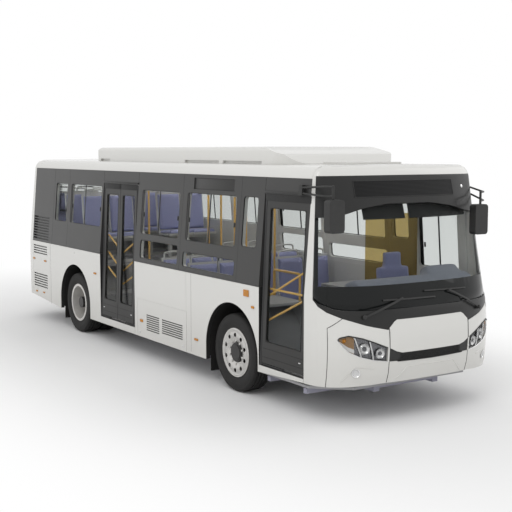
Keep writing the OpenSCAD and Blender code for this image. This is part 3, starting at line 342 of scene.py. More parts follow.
# Black mouldings
# Wheel housings, mirror shells, wiper arms and grille frame are moulded in black plastic with a fine grain.


def moulded(name, colour, worn, roughness=0.5):
    plastic = Finish(name, 0.4)
    scuffs = plastic.noise(14.0, 6.0)
    skin = plastic.tint(scuffs, colour, worn)
    plastic.show(skin, scuffs * 0.2 + roughness - 0.1)
    plastic.grain(plastic.noise(420.0, 2.0), 0.25, 0.0006)
    return plastic.material


black_plastic = moulded("black moulded plastic", 0.012, (0.03, 0.03, 0.029))
eased("black_plastic", black_plastic, "grille", "wipers", "steering_wheel", edge=0.001)
eased("black_plastic", black_plastic, "mirrors", edge=0.012, degrees=50)
# The housings are matt black towards the wheel and grey vinyl towards the cabin
housing_r = 0.604
housing_x = 0.584
housing = Finish("wheel housing", 0.25, {"Roughness": 0.75})
x, y, z = housing.axes
over = from_arch(y, z.math("MAXIMUM", z - arch_z, 0.0)) > housing_r
grime = housing.noise(14.0, 6.0)
lined = housing.tint(grime, (0.3, 0.3, 0.31), (0.36, 0.36, 0.37))
black = housing.tint(grime, 0.009, (0.02, 0.019, 0.018))
housing.look({"Base Color": housing.tint(x.math("MAXIMUM", over, abs(x) < housing_x), black, lined)})
housing.grain(housing.noise(420.0, 2.0), 0.25, 0.0006)
eased("black_plastic", housing.material, "wheel_arches", edge=0.001)

# Front panel lines
# The nose is a stack of mouldings. Thin dark rods in the joints paint the shadow where they meet.
nose_y = -4.6
side_back = 0.6868
plan_round = 2.6
# Height, setback of the middle of the nose
nose_profile = ((0.4, 0.075), (0.56, 0.025), (0.8, 0.0), (1.0, 0.01), (1.2, 0.05), (1.36, 0.13), (2.63, 0.51),
                (2.69, 0.535), (2.735, 0.565), (2.77, 0.625))


def along(line, at):
    """Reads a line of (place, value) pairs, straight between them."""
    if at <= line[0][0]:
        return line[0][1]
    for (a, low), (b, high) in zip(line, line[1:]):
        if at <= b:
            return low + (high - low) * (at - a) / (b - a)
    return line[-1][1]


def stations(line, steps):
    """Points along a line of corners, with each straight cut into steps."""
    return [(xa + (xb - xa) * k / steps, za + (zb - za) * k / steps)
            for (xa, za), (xb, zb) in zip(line, line[1:]) for k in range(steps + 1)]


def wall(z):
    """Half the body's width at a height."""
    return half - max(0.0, z - waist) * lean


def setback(x, z, profile, at_side, roundness):
    """How far the skin of an end of the bus lies behind its foremost plane."""
    back = along(profile, z)
    bow = 1 - (1 - min(1.0, abs(x) / wall(z)) ** roundness) ** (1 / roundness)
    return back + (at_side - back) * bow


def nose(x, z, out=0.0):
    """The point of the front at x and z, moved out of the surface."""

    def skin(x, z):
        return Vector((x, nose_y + setback(x, z, nose_profile, side_back, plan_round), z))

    step = 0.002
    side = skin(x + step, z) - skin(x - step, z)
    up = skin(x, z + step) - skin(x, z - step)
    return skin(x, z) + side.cross(up).normalized() * out


def dressed(piece, material, body="body", degrees=32):
    """Gives a shape its material, its shading and the body it rides on."""
    piece.data.materials.append(material)
    smooth(piece, degrees)
    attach(piece, body)
    return piece


def rod(name, points, radius, material, body="body", round_bends=False, sides=4):
    """A bent rod, bead or seal through points, with closed ends."""
    curve = bpy.data.curves.new(name, "CURVE")
    curve.dimensions = "3D"
    curve.bevel_depth = radius
    curve.bevel_resolution = sides // 2
    curve.use_fill_caps = True
    line = curve.splines.new("NURBS" if round_bends else "POLY")
    line.points.add(len(points) - 1)
    for knot, place in zip(line.points, points):
        knot.co = (*place, 1)
    if round_bends:
        line.order_u = 3
        line.use_endpoint_u = True
        line.resolution_u = 6
    only(placed(name, curve))
    bpy.ops.object.convert(target="MESH")
    return dressed(bpy.context.object, material, body, 60)


def joined(name, pieces):
    """Makes several finished pieces of one body into one."""
    only(pieces[0])
    for piece in pieces:
        piece.select_set(True)
    bpy.ops.object.join()
    pieces[0].name = name
    return pieces[0]


def nose_rod(name, line, steps, out, radius, material, side=1):
    """A rod along a line of corners on the nose."""
    return rod(name, [nose(side * x, z, out) for x, z in stations(line, steps)], radius, material)


# Dark rods laid in joints and gaps stand in for their shadow: painted shadow
shadow = moulded("painted shadow gap", 0.006, 0.012, 0.7)
# Open joints of the front skin on one side: half width, height
shut_lines = (((0.58, 0.447), (0.58, 0.682)), ((1.06, 1.161), (1.175, 1.0555), (1.175, 0.412)),
              ((0.5795, 0.832), (0.5795, 1.03)))
shut_rods = []
for side in (-1, 1):
    shut_rods += [nose_rod("shut_rod", line, 6, -0.0005, 0.0035, shadow, side) for line in shut_lines]
# Dark rod of painted shadow under the grille's lip: half width, height
lip_line = ((0, 0.674), (0.46, 0.68), (1, 0.69))
lip = [nose(x / 40, along(lip_line, abs(x / 40)), 0.001) for x in range(-19, 20)]
shut_rods.append(rod("lip_rod", lip, 0.006, shadow))
joined("front_shut_lines", shut_rods)

# Headlamps
# A leaf-shaped lamp on each corner of the bumper: a chromed tray with an amber end chamber, a projector and a
# bowl behind one clear cover, with a dark brow and a bright lower rim. A round fog lamp sits below.
lamp_foot = ((0.6, 0.684), (0.76, 0.707), (0.913, 0.75), (1.022, 0.807), (1.081, 0.882), (1.108, 0.93))
lamp_top = ((0.6, 0.834), (0.76, 0.902), (0.885, 0.949), (1.014, 0.979), (1.081, 0.96), (1.108, 0.942))
lamp_in = 0.604
lamp_out = 1.098


def shaped(name, add, **settings):
    """A fresh primitive, to be given its shape."""
    add(**settings)
    bpy.context.object.name = name
    return bpy.context.object


def nose_sheet(name, spot, columns, rows, out, material):
    """A sheet on the nose. spot turns shares across and up into x and z."""
    piece = shaped(name, bpy.ops.mesh.primitive_grid_add, x_subdivisions=columns, y_subdivisions=rows, size=2)
    for corner in piece.data.vertices:
        x, z = spot((corner.co.x + 1) / 2, (corner.co.y + 1) / 2)
        corner.co = nose(x, z, out)
    harden(piece, "SOLIDIFY", thickness=0.002, offset=-1.0)
    return dressed(piece, material)


def in_lamp(side, near, far):
    """Spots between the two edges of a lamp, over a span of |x|."""
    x0, x1 = sorted((side * near, side * far))

    def spot(across, up):
        x = x0 + (x1 - x0) * across
        low = along(lamp_foot, abs(x))
        return x, low + (along(lamp_top, abs(x)) - low) * up

    return spot


def bright(name, colour, roughness):
    metal = Finish(name, 0.5, {"Metallic": 1.0})
    marks = metal.noise(30.0, 4.0)
    dull = tuple(0.85 * c for c in colour)
    metal.show(metal.tint(marks, colour, dull), marks * 0.08 + roughness)
    return metal.material


chrome = bright("lamp chrome", (0.78, 0.78, 0.78), 0.08)
smoked = bright("smoked lamp tray", (0.2, 0.2, 0.21), 0.22)


def lens_plastic(name, colour, pitch):
    """Coloured lens with moulded ribs and a faint painted glow."""
    lens = Finish(name, 0.3, {"Roughness": 0.2, "Coat Weight": 0.15, "Emission Strength": 0.03})
    ribs = lens.ribs(pitch)
    deep = tuple(0.55 * c for c in colour)
    banded = lens.tint(ribs, deep, colour)
    lens.look({"Base Color": banded, "Emission Color": banded})
    lens.grain(ribs, 0.5, 0.002)
    return lens.material


amber_lens = lens_plastic("amber lens", (0.6, 0.235, 0.015), 0.012)
pale_amber = lens_plastic("pale amber chamber", (0.38, 0.235, 0.12), 0.01)
red_lens = lens_plastic("red lens", (0.5, 0.015, 0.012), 0.016)
cover_glass = clear_glass("lamp cover", 0.97, 0.02)
guide_white = moulded("white light guide", (0.72, 0.72, 0.71), (0.66, 0.66, 0.65), 0.3)


def turned(name, outline, steps, at, material, body="body"):
    """A piece turned about an axis: outline is (radius, height) pairs, at puts it in place."""
    mesh = bpy.data.meshes.new(name)
    mesh.from_pydata([(r, 0, h) for r, h in outline], [(k, k + 1) for k in range(len(outline) - 1)], [])
    piece = placed(name, mesh)
    spin = {"steps": steps, "angle": 2 * pi, "center": (0, 0, 0), "axis": (0, 0, 1)}
    edit(piece, (bpy.ops.mesh.spin, spin), (bpy.ops.mesh.remove_doubles, {"threshold": 0.00005}),
         (bpy.ops.mesh.normals_make_consistent, {"inside": False}))
    piece.data.transform(at)
    return dressed(piece, material, body)


def on_nose(x, z, out):
    """Place on the nose whose z axis looks out of the surface."""
    here = nose(x, z, out)
    turn = (nose(x, z, out + 0.01) - here).to_track_quat("Z", "Y")
    return Matrix.Translation(here) @ turn.to_matrix().to_4x4()


# Dividers between the chambers, upper end to lower end, and bowls: half width, height, radius
dividers = (((0.963, 0.965), (0.892, 0.74)), ((0.805, 0.915), (0.761, 0.709)))
bowls = ((0.862, 0.835, 0.062), (0.69, 0.778, 0.056))
bulb = [(0.022, -0.008), (0.02, 0.004), (0.012, 0.01), (0, 0.012)]
fog_bezel = [(0.047, 0.001), (0.047, 0.007), (0.042, 0.009), (0.037, 0.006), (0.034, 0.002), (0.02, 0.0005),
             (0, 0.0)]
fog_lens = [(0.035, 0.003), (0.025, 0.0065), (0.012, 0.0078), (0, 0.008)]
trays, chromes, ambers, covers, brows = [], [], [], [], []
for side in (-1, 1):
    leaf = in_lamp(side, lamp_in, lamp_out)
    chamber = in_lamp(side, 0.965, 1.095)
    trays.append(nose_sheet("lamp_tray", leaf, 30, 10, -0.032, smoked))
    ambers.append(nose_sheet("amber_chamber", chamber, 12, 8, -0.018, pale_amber))
    trays.append(nose_sheet("light_guide", lambda u, v: chamber(u, 0.05 + 0.24 * v), 12, 3, -0.0155,
                            guide_white))
    ambers.append(turned("amber_bulb", bulb, 20, on_nose(side * 1.055, 0.925, -0.014), amber_lens))
    covers.append(nose_sheet("lamp_cover", leaf, 30, 10, -0.001, cover_glass))
    chromes += [nose_rod("lamp_divider", line, 4, -0.014, 0.011, chrome, side) for line in dividers]
    for x, z, r in bowls:
        bowl = [(r, 0.0), (0.9 * r, -0.008), (0.62 * r, -0.02), (0.45 * r, -0.022), (0.42 * r, -0.008)]
        chromes.append(turned("lamp_bowl", bowl, 24, on_nose(side * x, z, -0.009), chrome))
        behind = on_nose(side * x, z, -0.018)
        dome = [(0.4 * r * cos(a), 0.4 * r * sin(a)) for a in [k * pi / 16 for k in range(9)]]
        covers.append(turned("projector_dome", dome, 20, behind, cover_glass))
        shield = [(0.4 * r, 0), (0.3 * r, -0.004), (0, -0.005)]
        trays.append(turned("projector_back", shield, 20, behind, smoked))
    edge = [lamp_out - k * (lamp_out - lamp_in) / 24 for k in range(25)]
    upper = [nose(side * x, along(lamp_top, x), 0.0) for x in edge]
    lower = [nose(side * x, along(lamp_foot, x), -0.001) for x in edge]
    brows.append(rod("lamp_brow", upper, 0.007, black_plastic))
    chromes.append(rod("lamp_rim", lower, 0.005, chrome))
    fog = on_nose(side * 0.938, 0.575, 0.0)
    chromes.append(turned("fog_bezel", fog_bezel, 32, fog, chrome))
    covers.append(turned("fog_lens", fog_lens, 32, fog, cover_glass))
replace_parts(joined("lamp_trays", trays), "headlamps")
joined("lamp_chrome_work", chromes)
joined("lamp_amber_ends", ambers)
joined("lamp_covers", covers)
joined("lamp_brows", brows)

# Grille
# A honeycomb of black plastic in the slot between flap and bumper, in front of the grille's own back plate.
cell = 0.0125
comb_low = ((0.0, 0.688), (0.46, 0.694))
comb_high = ((0.0, 0.757), (0.42, 0.757), (0.46, 0.766))
comb_half = 0.44
comb_foot = 0.694
step_x = cell * sqrt(3)
step_z = cell * 1.5
cells = []
for row in range(5):
    for column in range(-22, 23):
        x = step_x * (column + row % 2 / 2)
        z = comb_foot + step_z * row
        inside = along(comb_low, abs(x)) < z < along(comb_high, abs(x)) - cell / 3
        if abs(x) < comb_half and inside:
            cells.append(shaped("comb_cell", bpy.ops.mesh.primitive_circle_add, vertices=6, radius=cell,
                                fill_type="NGON", location=(x, z, 0), rotation=(0, 0, pi / 6)))
            bpy.ops.object.transform_apply()
for one in cells:
    one.select_set(True)
bpy.ops.object.join()
honeycomb = bpy.context.object
honeycomb.name = "grille_honeycomb"
edit(honeycomb, (bpy.ops.mesh.remove_doubles, {"threshold": 0.0005}))
harden(honeycomb, "WIREFRAME", thickness=0.0045, use_even_offset=False)
for corner in honeycomb.data.vertices:
    corner.co = nose(corner.co.x, corner.co.y, corner.co.z - 0.004)
honeycomb.data.materials.append(black_plastic)
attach(honeycomb, "body")

# Bumper relief
# A raised bead frames the recess for the number plate, and another the hollow round each fog lamp.
bead_lines = (((-0.5, 0.452), (-0.33, 0.61), (0.33, 0.61), (0.5, 0.452)),
              ((-1.064, 0.48), (-0.95, 0.645), (-0.75, 0.62)), ((1.064, 0.48), (0.95, 0.645), (0.75, 0.62)))
beads = [nose_rod("bumper_bead", line, 10, -0.003, 0.008, body_paint) for line in bead_lines]
joined("bumper_beads", beads)

# Header sign and visor
# A blank destination sign lies behind a dark pane in the header, over a fine slatted face. Two dark blinds
# hang inside the top of the windscreen, and a small round lens sits beside the sign.
slatted = Finish("slatted sign face", 0.15, {"Roughness": 0.35})
slats = slatted.ribs(0.014)
slatted.look({"Base Color": slatted.tint(slats, 0.004, (0.014, 0.014, 0.0145))})
slatted.grain(slats, 0.6, 0.002)
sign = nose_sheet("destination_sign", lambda u, v: (-0.72 + 1.44 * u, 2.43 + 0.17 * v), 30, 8, 0.002,
                  slatted.material)
sign_edge = [(-0.725, 2.427), (0.725, 2.427), (0.725, 2.603), (-0.725, 2.603), (-0.725, 2.427)]
nose_rod("sign_frame", sign_edge, 16, 0.002, 0.004, black_plastic)
blind_cloth = moulded("dark blind cloth", (0.016, 0.016, 0.017), 0.03, 0.8)
blind_foot = 2.2
blind_tall = 0.22
blinds = []
for x, wide in ((-0.62, 0.59), (0.03, 0.97)):
    blinds.append(nose_sheet("sun_blind", lambda u, v: (x + wide * u, blind_foot + blind_tall * v), 16, 6,
                             -0.07, blind_cloth))
joined("sun_blinds", blinds)
button = [(0.02, 0.0), (0.019, 0.005), (0.012, 0.007), (0, 0.008)]
turned("header_lens", button, 24, on_nose(0.9, 2.52, 0.0), chrome)

# Windscreen wipers and mirrors
# Rubber blades under the arms, a turned cap on each pivot, and silvered glass in the rear of each mirror.
rubber = moulded("soft rubber", 0.01, 0.018, 0.65)
pivot_cap = [(0.024, 0.03), (0.024, 0.04), (0.018, 0.045), (0.006, 0.047), (0, 0.047)]
blades = []
# Blade ends of each wiper, and its pivot: x, z
for blade, pivot in ((((-0.598, 1.331), (0.12, 1.322)), (-0.853, 1.173)),
                     (((0.64, 1.38), (-0.02, 1.396)), (0.789, 1.15))):
    blades.append(nose_rod("wiper_rubber", blade, 12, 0.0035, 0.003, rubber))
    blades.append(turned("wiper_cap", pivot_cap, 24, on_nose(*pivot, 0.0), black_plastic))
joined("wiper_fittings", blades)


def block(name, spans, put, material, edge, body="body"):
    """A bar or plate with eased edges: spans are its limits three ways, put turns them into points."""
    piece = shaped(name, bpy.ops.mesh.primitive_cube_add, size=1)
    for corner in piece.data.vertices:
        corner.co = put(*(a + (b - a) * (share + 0.5) for (a, b), share in zip(spans, corner.co)))
    edit(piece, (bpy.ops.mesh.normals_make_consistent, {"inside": False}))
    harden(piece, "BEVEL", width=edge, segments=2, limit_method="ANGLE")
    return dressed(piece, material, body)


mirror_glass = bright("mirror silvering", (0.85, 0.87, 0.88), 0.02)
silvered = []
for x, y, z in ((-1.142, -4.3, 2.245), (0.992, -4.275, 2.138)):
    limits = ((x - 0.085, x + 0.085), (y + 0.049, y + 0.052), (z - 0.16, z + 0.16))
    silvered.append(block("mirror_pane", limits, lambda *point: Vector(point), mirror_glass, 0.0012))
joined("mirror_panes", silvered)

# Wheels
# Pressed steel discs in silver paint, with a dark, grease-stained hub, a ring of nuts and tubeless tyres with
# four grooves round them. The rear axle carries twins; the front discs wear a bright domed trim with ten
# holes, behind which the disc is painted dark as shade.
axle_front = -2.4
axle_rear = 2.41
wheel_z = 0.48
track = 1.062
twin_gap = 0.31
in_ring = 10


def wheel_paint(name, axle_y, hub):
    silver = Finish(name, 0.5, {"Metallic": 0.4})
    _, y, z = silver.axes
    far = (y - axle_y) * (y - axle_y) + (z - wheel_z) * (z - wheel_z)
    dirt = silver.noise(9.0, 6.0)
    steel = silver.tint(dirt, (0.68, 0.67, 0.65), (0.54, 0.52, 0.49))
    # Dark disc of radius hub: grease on the rear hubs, and on the front discs painted shade under the trim,
    # seen through its holes
    greased_and_shaded = silver.tint(far < hub * hub, steel, (0.035, 0.034, 0.033))
    silver.show(greased_and_shaded, dirt * 0.25 + 0.26)
    silver.grain(silver.noise(160.0, 3.0), 0.08)
    return silver.material


# On the front discs the dark reaches under the trim as painted shade
wheel_front = wheel_paint("front wheel silver", axle_front, 0.262)
wheel_rear = wheel_paint("rear wheel silver", axle_rear, 0.121)
tread = Finish("tyre rubber", 0.25)
wear = tread.noise(22.0, 5.0)
worn = tread.tint(wear, 0.012, (0.032, 0.031, 0.03))
tread.show(worn, wear * 0.2 + 0.62)
tread.grain(tread.noise(300.0, 3.0), 0.3)
# Half of a tyre's section: distance from its middle, radius
tyre_half = [(0.112, 0.2865), (0.116, 0.302), (0.121, 0.312), (0.119, 0.32), (0.128, 0.345), (0.1355, 0.375),
             (0.1375, 0.395), (0.1365, 0.42), (0.1325, 0.44), (0.1345, 0.443), (0.134, 0.452), (0.128, 0.464),
             (0.117, 0.4735), (0.1, 0.4775)]
# A groove of the tread: distance of its corners from its middle, radius
groove = ((0.0065, 0.479), (0.005, 0.467), (-0.005, 0.467), (-0.0065, 0.4793))
for middle in (0.0705, 0.024):
    tyre_half += [(middle + off, r) for off, r in groove]
section = [(r, w) for w, r in tyre_half] + [(r, -w) for w, r in reversed(tyre_half)]
section.append(section[0])
# Front trim: radius and height of its face over the tyre's middle, and the same face from behind
trim_steel = bright("brushed trim", (0.6, 0.59, 0.57), 0.28)
trim_face = [(0.287, 0.1225), (0.283, 0.1255), (0.272, 0.1255), (0.262, 0.121), (0.25, 0.122),
             (0.232, 0.1255), (0.21, 0.1265), (0.185, 0.1235), (0.16, 0.116), (0.135, 0.106), (0.1225, 0.1)]
trim_back = [(r, h - 0.003) for r, h in reversed(trim_face)]
hole_ring = 0.219


def across_bus(x, y, out):
    """Place of a wheel: its z axis looks out of the bus on the side given by out."""
    return Matrix.Translation((x, y, wheel_z)) @ Matrix.Rotation(out * pi / 2, 4, "Y")


def ring_of(name, reach, height, at, **sizes):
    """Cylinders in a ring round a wheel's axis, at a height over the tyre's middle."""
    made = []
    for k in range(in_ring):
        turn = 2 * pi * k / in_ring
        one = shaped(name, bpy.ops.mesh.primitive_cylinder_add, **sizes)
        one.data.transform(at @ Matrix.Translation((reach * cos(turn), reach * sin(turn), height)))
        made.append(one)
    return made


axles = ((axle_front, "front", wheel_front, False), (axle_rear, "rear", wheel_rear, True))
for side, name in ((-1, "right"), (1, "left")):
    for axle_y, where, paint, twin in axles:
        body = f"{name}_{where}_wheel"
        at = across_bus(side * track, axle_y, side)
        eased("wheel_silver", paint, body, edge=0.0025, degrees=40)
        tyres = [turned("tyre", section, 96, at, tread.material, body)]
        if twin:
            inner = across_bus(side * (track - twin_gap), axle_y, side)
            tyres.append(turned("tyre", section, 96, inner, tread.material, body))
        tyre = joined(f"{name}_{where}_tyre_tread", tyres)
        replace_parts(tyre, f"{name}_{where}_tyre")
        # Nuts on the disc: ring radius, height of their middle over the tyre's middle
        ring, height = (0.168, -0.1285) if twin else (0.1445, 0.104)
        nuts = ring_of("wheel_nut", ring, height, at, vertices=6, radius=0.0165, depth=0.03)
        for nut in nuts:
            harden(nut, "BEVEL", width=0.0025, segments=2, limit_method="ANGLE")
            dressed(nut, paint if twin else trim_steel, body)
        joined(f"{name}_{where}_wheel_nuts", nuts)
        if twin:
            continue
        trim = turned(f"{body}_trim", trim_face + trim_back + trim_face[:1], 96, at, trim_steel, body)
        for drill in ring_of("drill", hole_ring, 0.12, at, vertices=28, radius=0.026, depth=0.1):
            harden(trim, "BOOLEAN", object=drill, operation="DIFFERENCE", solver="EXACT")
            bpy.data.objects.remove(drill)
        smooth(trim, 40)

# Running gear
# Forged axle, knuckles and track rod in chassis black, rubber bellows, and the lavender primer of the frame.
chassis_black = moulded("chassis black", 0.02, (0.045, 0.042, 0.038), 0.55)
eased("black_steel", chassis_black, "front_axle", "rear_axle", "right_knuckle", "left_knuckle", "track_rod",
      edge=0.002)
eased("spring_rubber", rubber, "air_springs", edge=0.004, degrees=60)
primer = gloss_paint("lavender frame primer", (0.3, 0.3, 0.38), (0.24, 0.23, 0.24), 0.55, 0.0)
eased("frame_lavender", primer, "underframe", edge=0.003)
case_grey = gloss_paint("battery case grey", (0.1, 0.1, 0.11), 0.08, 0.5, 0.0)
eased("battery_grey", case_grey, "battery_box", edge=0.008)

# Floor covering
# Grey speckled vinyl, welded over plywood panels.
vinyl = Finish("speckled vinyl", 0.3)
specks = vinyl.noise(380.0, 1.0) > 0.62
scuffed = vinyl.noise(3.0, 6.0)
vinyl.show(vinyl.tint(specks * 0.6, (0.36, 0.36, 0.37), (0.5, 0.5, 0.51)), scuffed * 0.25 + 0.45)
vinyl.grain(vinyl.noise(500.0, 2.0), 0.2)
eased("floor_grey", vinyl.material, "floor", edge=0.002)

# Window furniture
# Each pane sits in a black rubber gasket. The large windows slide: a slim bar parts their halves, a guide
# runs down the rear edge and small latches hold them. A gutter runs over each doorway.


def on_side(side, y, z, out=0.0):
    """A point of a side's skin, moved out of it."""
    tilt = atan(lean) if z > waist else 0.0
    return Vector((side * (wall(z) + out * cos(tilt)), y, z + out * sin(tilt)))


def side_loop(side, y0, y1, z0, z1, r, out):
    """A closed loop with round corners on a side."""
    points = []
    corners = ((y1 - r, z1 - r, 0), (y0 + r, z1 - r, 90), (y0 + r, z0 + r, 180), (y1 - r, z0 + r, 270))
    for y, z, start in corners:
        for k in range(6):
            turn = radians(start + 18 * k)
            points.append(on_side(side, y + r * cos(turn), z + r * sin(turn), out))
    return points + points[:1]


def side_block(name, side, span, rise, layer, material, edge=0.002, body="body"):
    """A flat bar or plate on a side. layer is its lower and upper face over the skin."""
    return block(name, (layer, span, rise), lambda out, y, z: on_side(side, y, z, out), material, edge, body)


# Panes of the kerb side, and those that only the other side has: y0, y1, z0, z1
kerb_panes = ((2.81, 3.3, 1.77, 2.395), (1.465, 2.66, 1.77, 2.395), (-1.01, 0.09, 1.77, 2.385),
              (-1.025, 0.07, 1.425, 1.683), (-2.426, -1.21, 1.77, 2.39), (-2.45, -1.17, 1.425, 1.62),
              (-2.895, -2.575, 1.8, 2.395))
off_panes = kerb_panes + ((0.29, 1.28, 1.77, 2.385), (-3.78, -3.06, 1.47, 2.395))
corner_r = 0.045
pane_face = -0.0098
slim = 0.012
gaskets, bars = [], []
for side, panes in ((-1, kerb_panes), (1, off_panes)):
    for y0, y1, z0, z1 in panes:
        gaskets.append(rod("gasket", side_loop(side, y0, y1, z0, z1, corner_r, -0.006), 0.006, rubber))
        if z1 - z0 > 0.5 and y1 - y0 > 0.6:
            middle = y0 + 0.52 * (y1 - y0)
            fittings = [("pane_bar", (middle - slim, middle + slim), (z0, z1), -0.003),
                        ("pane_guide", (y1 - 0.05, y1 - 0.004), (z0 + 0.01, z1 - 0.01), -0.004)]
            for y in (y0 + 0.03, y1 - 0.075):
                fittings.append(("pane_latch", (y - slim, y + slim), (z0 + 0.24, z0 + 0.3), 0.002))
            for name, span, rise, top in fittings:
                bars.append(side_block(name, side, span, rise, (pane_face, top), black_plastic))
joined("window_gaskets", gaskets)
joined("window_bars", bars)
gutters = [side_block("door_gutter", -1, span, (2.452, 2.474), (0.0005, 0.016), black_plastic, 0.004)
           for span in ((-3.905, -3.02), (0.235, 1.405))]
joined("door_gutters", gutters)
side_sign = side_block("side_sign", -1, (-2.34, -1.365), (2.444, 2.581), (-0.0125, -0.009), band_paint, 0.001)

# Skirt fittings
# Quarter-turn locks hold the flaps shut. Reflectors and small lamps are stuck to the skirts, and thin dark
# rods of painted shadow show where the panels of skirt and band butt.
lock_z = 0.365
lock_outline = [(0.017, 0.0003), (0.017, 0.003), (0.014, 0.0045), (0.006, 0.0045), (0.005, 0.003), (0, 0.003)]
for side, body in ((-1, "right_flap"), (1, "left_flap")):
    pair = []
    for y in (-1.215, 0.06):
        at = Matrix.Translation((side * half, y, lock_z)) @ Matrix.Rotation(side * pi / 2, 4, "Y")
        pair.append(turned("flap_lock", lock_outline, 20, at, chrome, body))
    joined(f"{body}_locks", pair)
    marker = side_block(f"{body}_marker", side, (-0.035, 0.055), (0.513, 0.553), (0.0005, 0.009), amber_lens,
                        0.003, body)
eased("lamp_amber", amber_lens, "marker_lamps", edge=0.005)
# Seams of skirt and band, dark rods of painted shadow: places along the bus, heights, height over the skin,
# radius
seam_rows = (((-1.42, 3.44), (0.33, 0.8, 1.35), -0.0012, 0.0022),
             ((-1.09, -2.515, 2.74, 3.38), (1.375, 2.0, 2.62), -0.004, 0.0045))
seams = []
for side in (-1, 1):
    for places, heights, out, radius in seam_rows:
        seams += [rod("seam", [on_side(side, y, z, out) for z in heights], radius, shadow) for y in places]
joined("side_seams", seams)

# Doors
# Leaves of black aluminium round a long pane, with a kick panel below. Yellow rails cross the inside of each
# pane, a rubber seal frames the glass and a lock sits at the foot. Posts and arms are satin black steel.
post_paint = gloss_paint("satin post black", (0.03, 0.03, 0.031), (0.05, 0.05, 0.048), 0.45, 0.05, 0.3)
eased("black_plastic", post_paint, "front_post", "rear_post_a", "rear_post_b", edge=0.001)
rail_enamel = gloss_paint("yellow rail enamel", (0.85, 0.52, 0.14), (0.7, 0.42, 0.12), 0.32, 0.3)
door_tilt = radians(2.58)
door_top = 2.44
rim = 0.07
pane_foot = 0.29
over_pane = 0.16
lock_up = 0.16
# Distances behind the skin: seals and lock, feet of the rails, rails
face, inside, stand = 0.0025, 0.0355, 0.062
# Rails of a leaf: height of the lower end, rise
front_rails = ((0.54, 0.34), (0.9, 0.0), (0.83, 0.37))
rear_rails = ((0.57, 0.2), (0.77, 0.23), (1.045, 0.215))
# Leaf, y of its ends, sill height, which way its rails rise, rails
leaves = (("front_leaf", -3.9, -3.075, 0.45, -1, front_rails),
          ("rear_leaf_a", 0.285, 0.815, 0.4, -1, rear_rails),
          ("rear_leaf_b", 0.825, 1.355, 0.4, 1, rear_rails))
for name, y0, y1, sill, rise, rails in leaves:
    place = Matrix.Translation((-half, 0, sill)) @ Matrix.Rotation(door_tilt, 4, "Y")
    tall = (door_top - sill) / cos(door_tilt)

    def door_rod(points, radius, material, bends=False):
        return rod("door_rod", [place @ Vector(p) for p in points], radius, material, name, bends, 6)

    a, b, low, high = y0 + rim, y1 - rim, pane_foot, tall - over_pane
    loop = [(face, y, z) for y, z in ((a, low), (b, low), (b, high), (a, high), (a, low))]
    black = [door_rod(loop, 0.005, rubber)]
    # Two dark rods across the kick panel are painted shadow of its panel lines
    for z in (0.11, 0.21):
        black.append(door_rod([(face, y0 + 0.01, z), (face, y1 - 0.01, z)], 0.0025, shadow))
    lock = y0 + rim if rise < 0 else y1 - rim
    black.append(door_rod([(face, lock - 0.02, lock_up), (face, lock + 0.02, lock_up)], 0.008, chrome))
    joined(f"{name}_seals", black)
    bars = []
    near, far = (a - 0.03, b + 0.03) if rise > 0 else (b + 0.03, a - 0.03)
    for z, climb in rails:
        end = z + climb
        # Points at the bends are doubled, so that they stay tight
        path = [(inside, near, z), (stand, near, z), (stand, near, z), (stand, far, end), (stand, far, end),
                (inside, far, end)]
        bars.append(door_rod(path, 0.013, rail_enamel, True))
    joined(f"{name}_rails", bars)
    # Rubber lip under the header, outside the leaf, that hides the arm's slot
    limits = ((-0.004, -0.001), (y0 - 0.025, y1 + 0.025), (tall - 0.077, tall + 0.003))
    flap = block(f"{name}_lip", limits, lambda *point: place @ Vector(point), rubber, 0.0012)

# Rear lamps and rear fittings
# Stacked ribbed lenses in red and amber, a blank number plate, red reflectors and a pull handle on the hatch.
tail_lens = Finish("stacked tail lens", 0.5, {"Roughness": 0.12, "Coat Weight": 0.6,
                                             "Emission Strength": 0.1})
z = tail_lens.axes[2]
ribs = tail_lens.ribs(0.016)
is_amber = (z > 0.905) * (z < 1.055)
lens_colour = tail_lens.tint(is_amber, (0.45, 0.012, 0.01), (0.8, 0.27, 0.03))
tail_lens.look({
    "Base Color": tail_lens.tint(ribs * 0.5, lens_colour, (0.05, 0.01, 0.01)),
    "Emission Color": lens_colour,
})
tail_lens.grain(ribs, 0.5, 0.002)
eased("lamp_red", tail_lens.material, "tail_lamps", edge=0.003)
tail_y = 4.6
tail_round = 4.5
tail_side = 0.33
# Height, setback of the middle of the rear
tail_profile = ((0.4, 0.02), (0.7, 0.0), (1.3, 0.01), (2.0, 0.06), (2.63, 0.13))


def tail(x, z, out=0.0):
    """A point of the rear at x and z, moved back from it."""
    return Vector((x, tail_y - setback(x, z, tail_profile, tail_side, tail_round) + out, z))


def tail_plate(name, span, rise, layer, material, body="body"):
    """A plate on the rear. layer is its near and far face behind the skin."""
    return block(name, (span, layer, rise), lambda x, out, z: tail(x, z, out), material, 0.0015, body)


plate_white = gloss_paint("blank plate", (0.7, 0.7, 0.66), (0.6, 0.58, 0.52), 0.35, 0.1)
backing = tail_plate("rear_plate_frame", (-0.275, 0.275), (0.458, 0.592), (0.0005, 0.003), black_plastic)
tail_plate("rear_plate", (-0.26, 0.26), (0.47, 0.58), (0.002, 0.0045), plate_white)
# Reflectors are no lamps: the faint glow of their red lens is painted light
reflectors = [tail_plate("reflector", (x - 0.05, x + 0.05), (0.5, 0.54), (0.001, 0.006), red_lens)
              for x in (-0.9, 0.9)]
joined("rear_reflectors", reflectors)
pull = tail_plate("hatch_handle", (-0.09, 0.09), (0.652, 0.682), (0.0002, 0.001), black_plastic, "rear_hatch")
edge = [(0.955, 1.965), (0.955, 2.475), (-0.955, 2.475), (-0.955, 1.965), (0.955, 1.965)]
knots = [tail(x, z, -0.004) for x, z in stations(edge, 12)]
rod("rear_window_gasket", knots, 0.006, rubber)

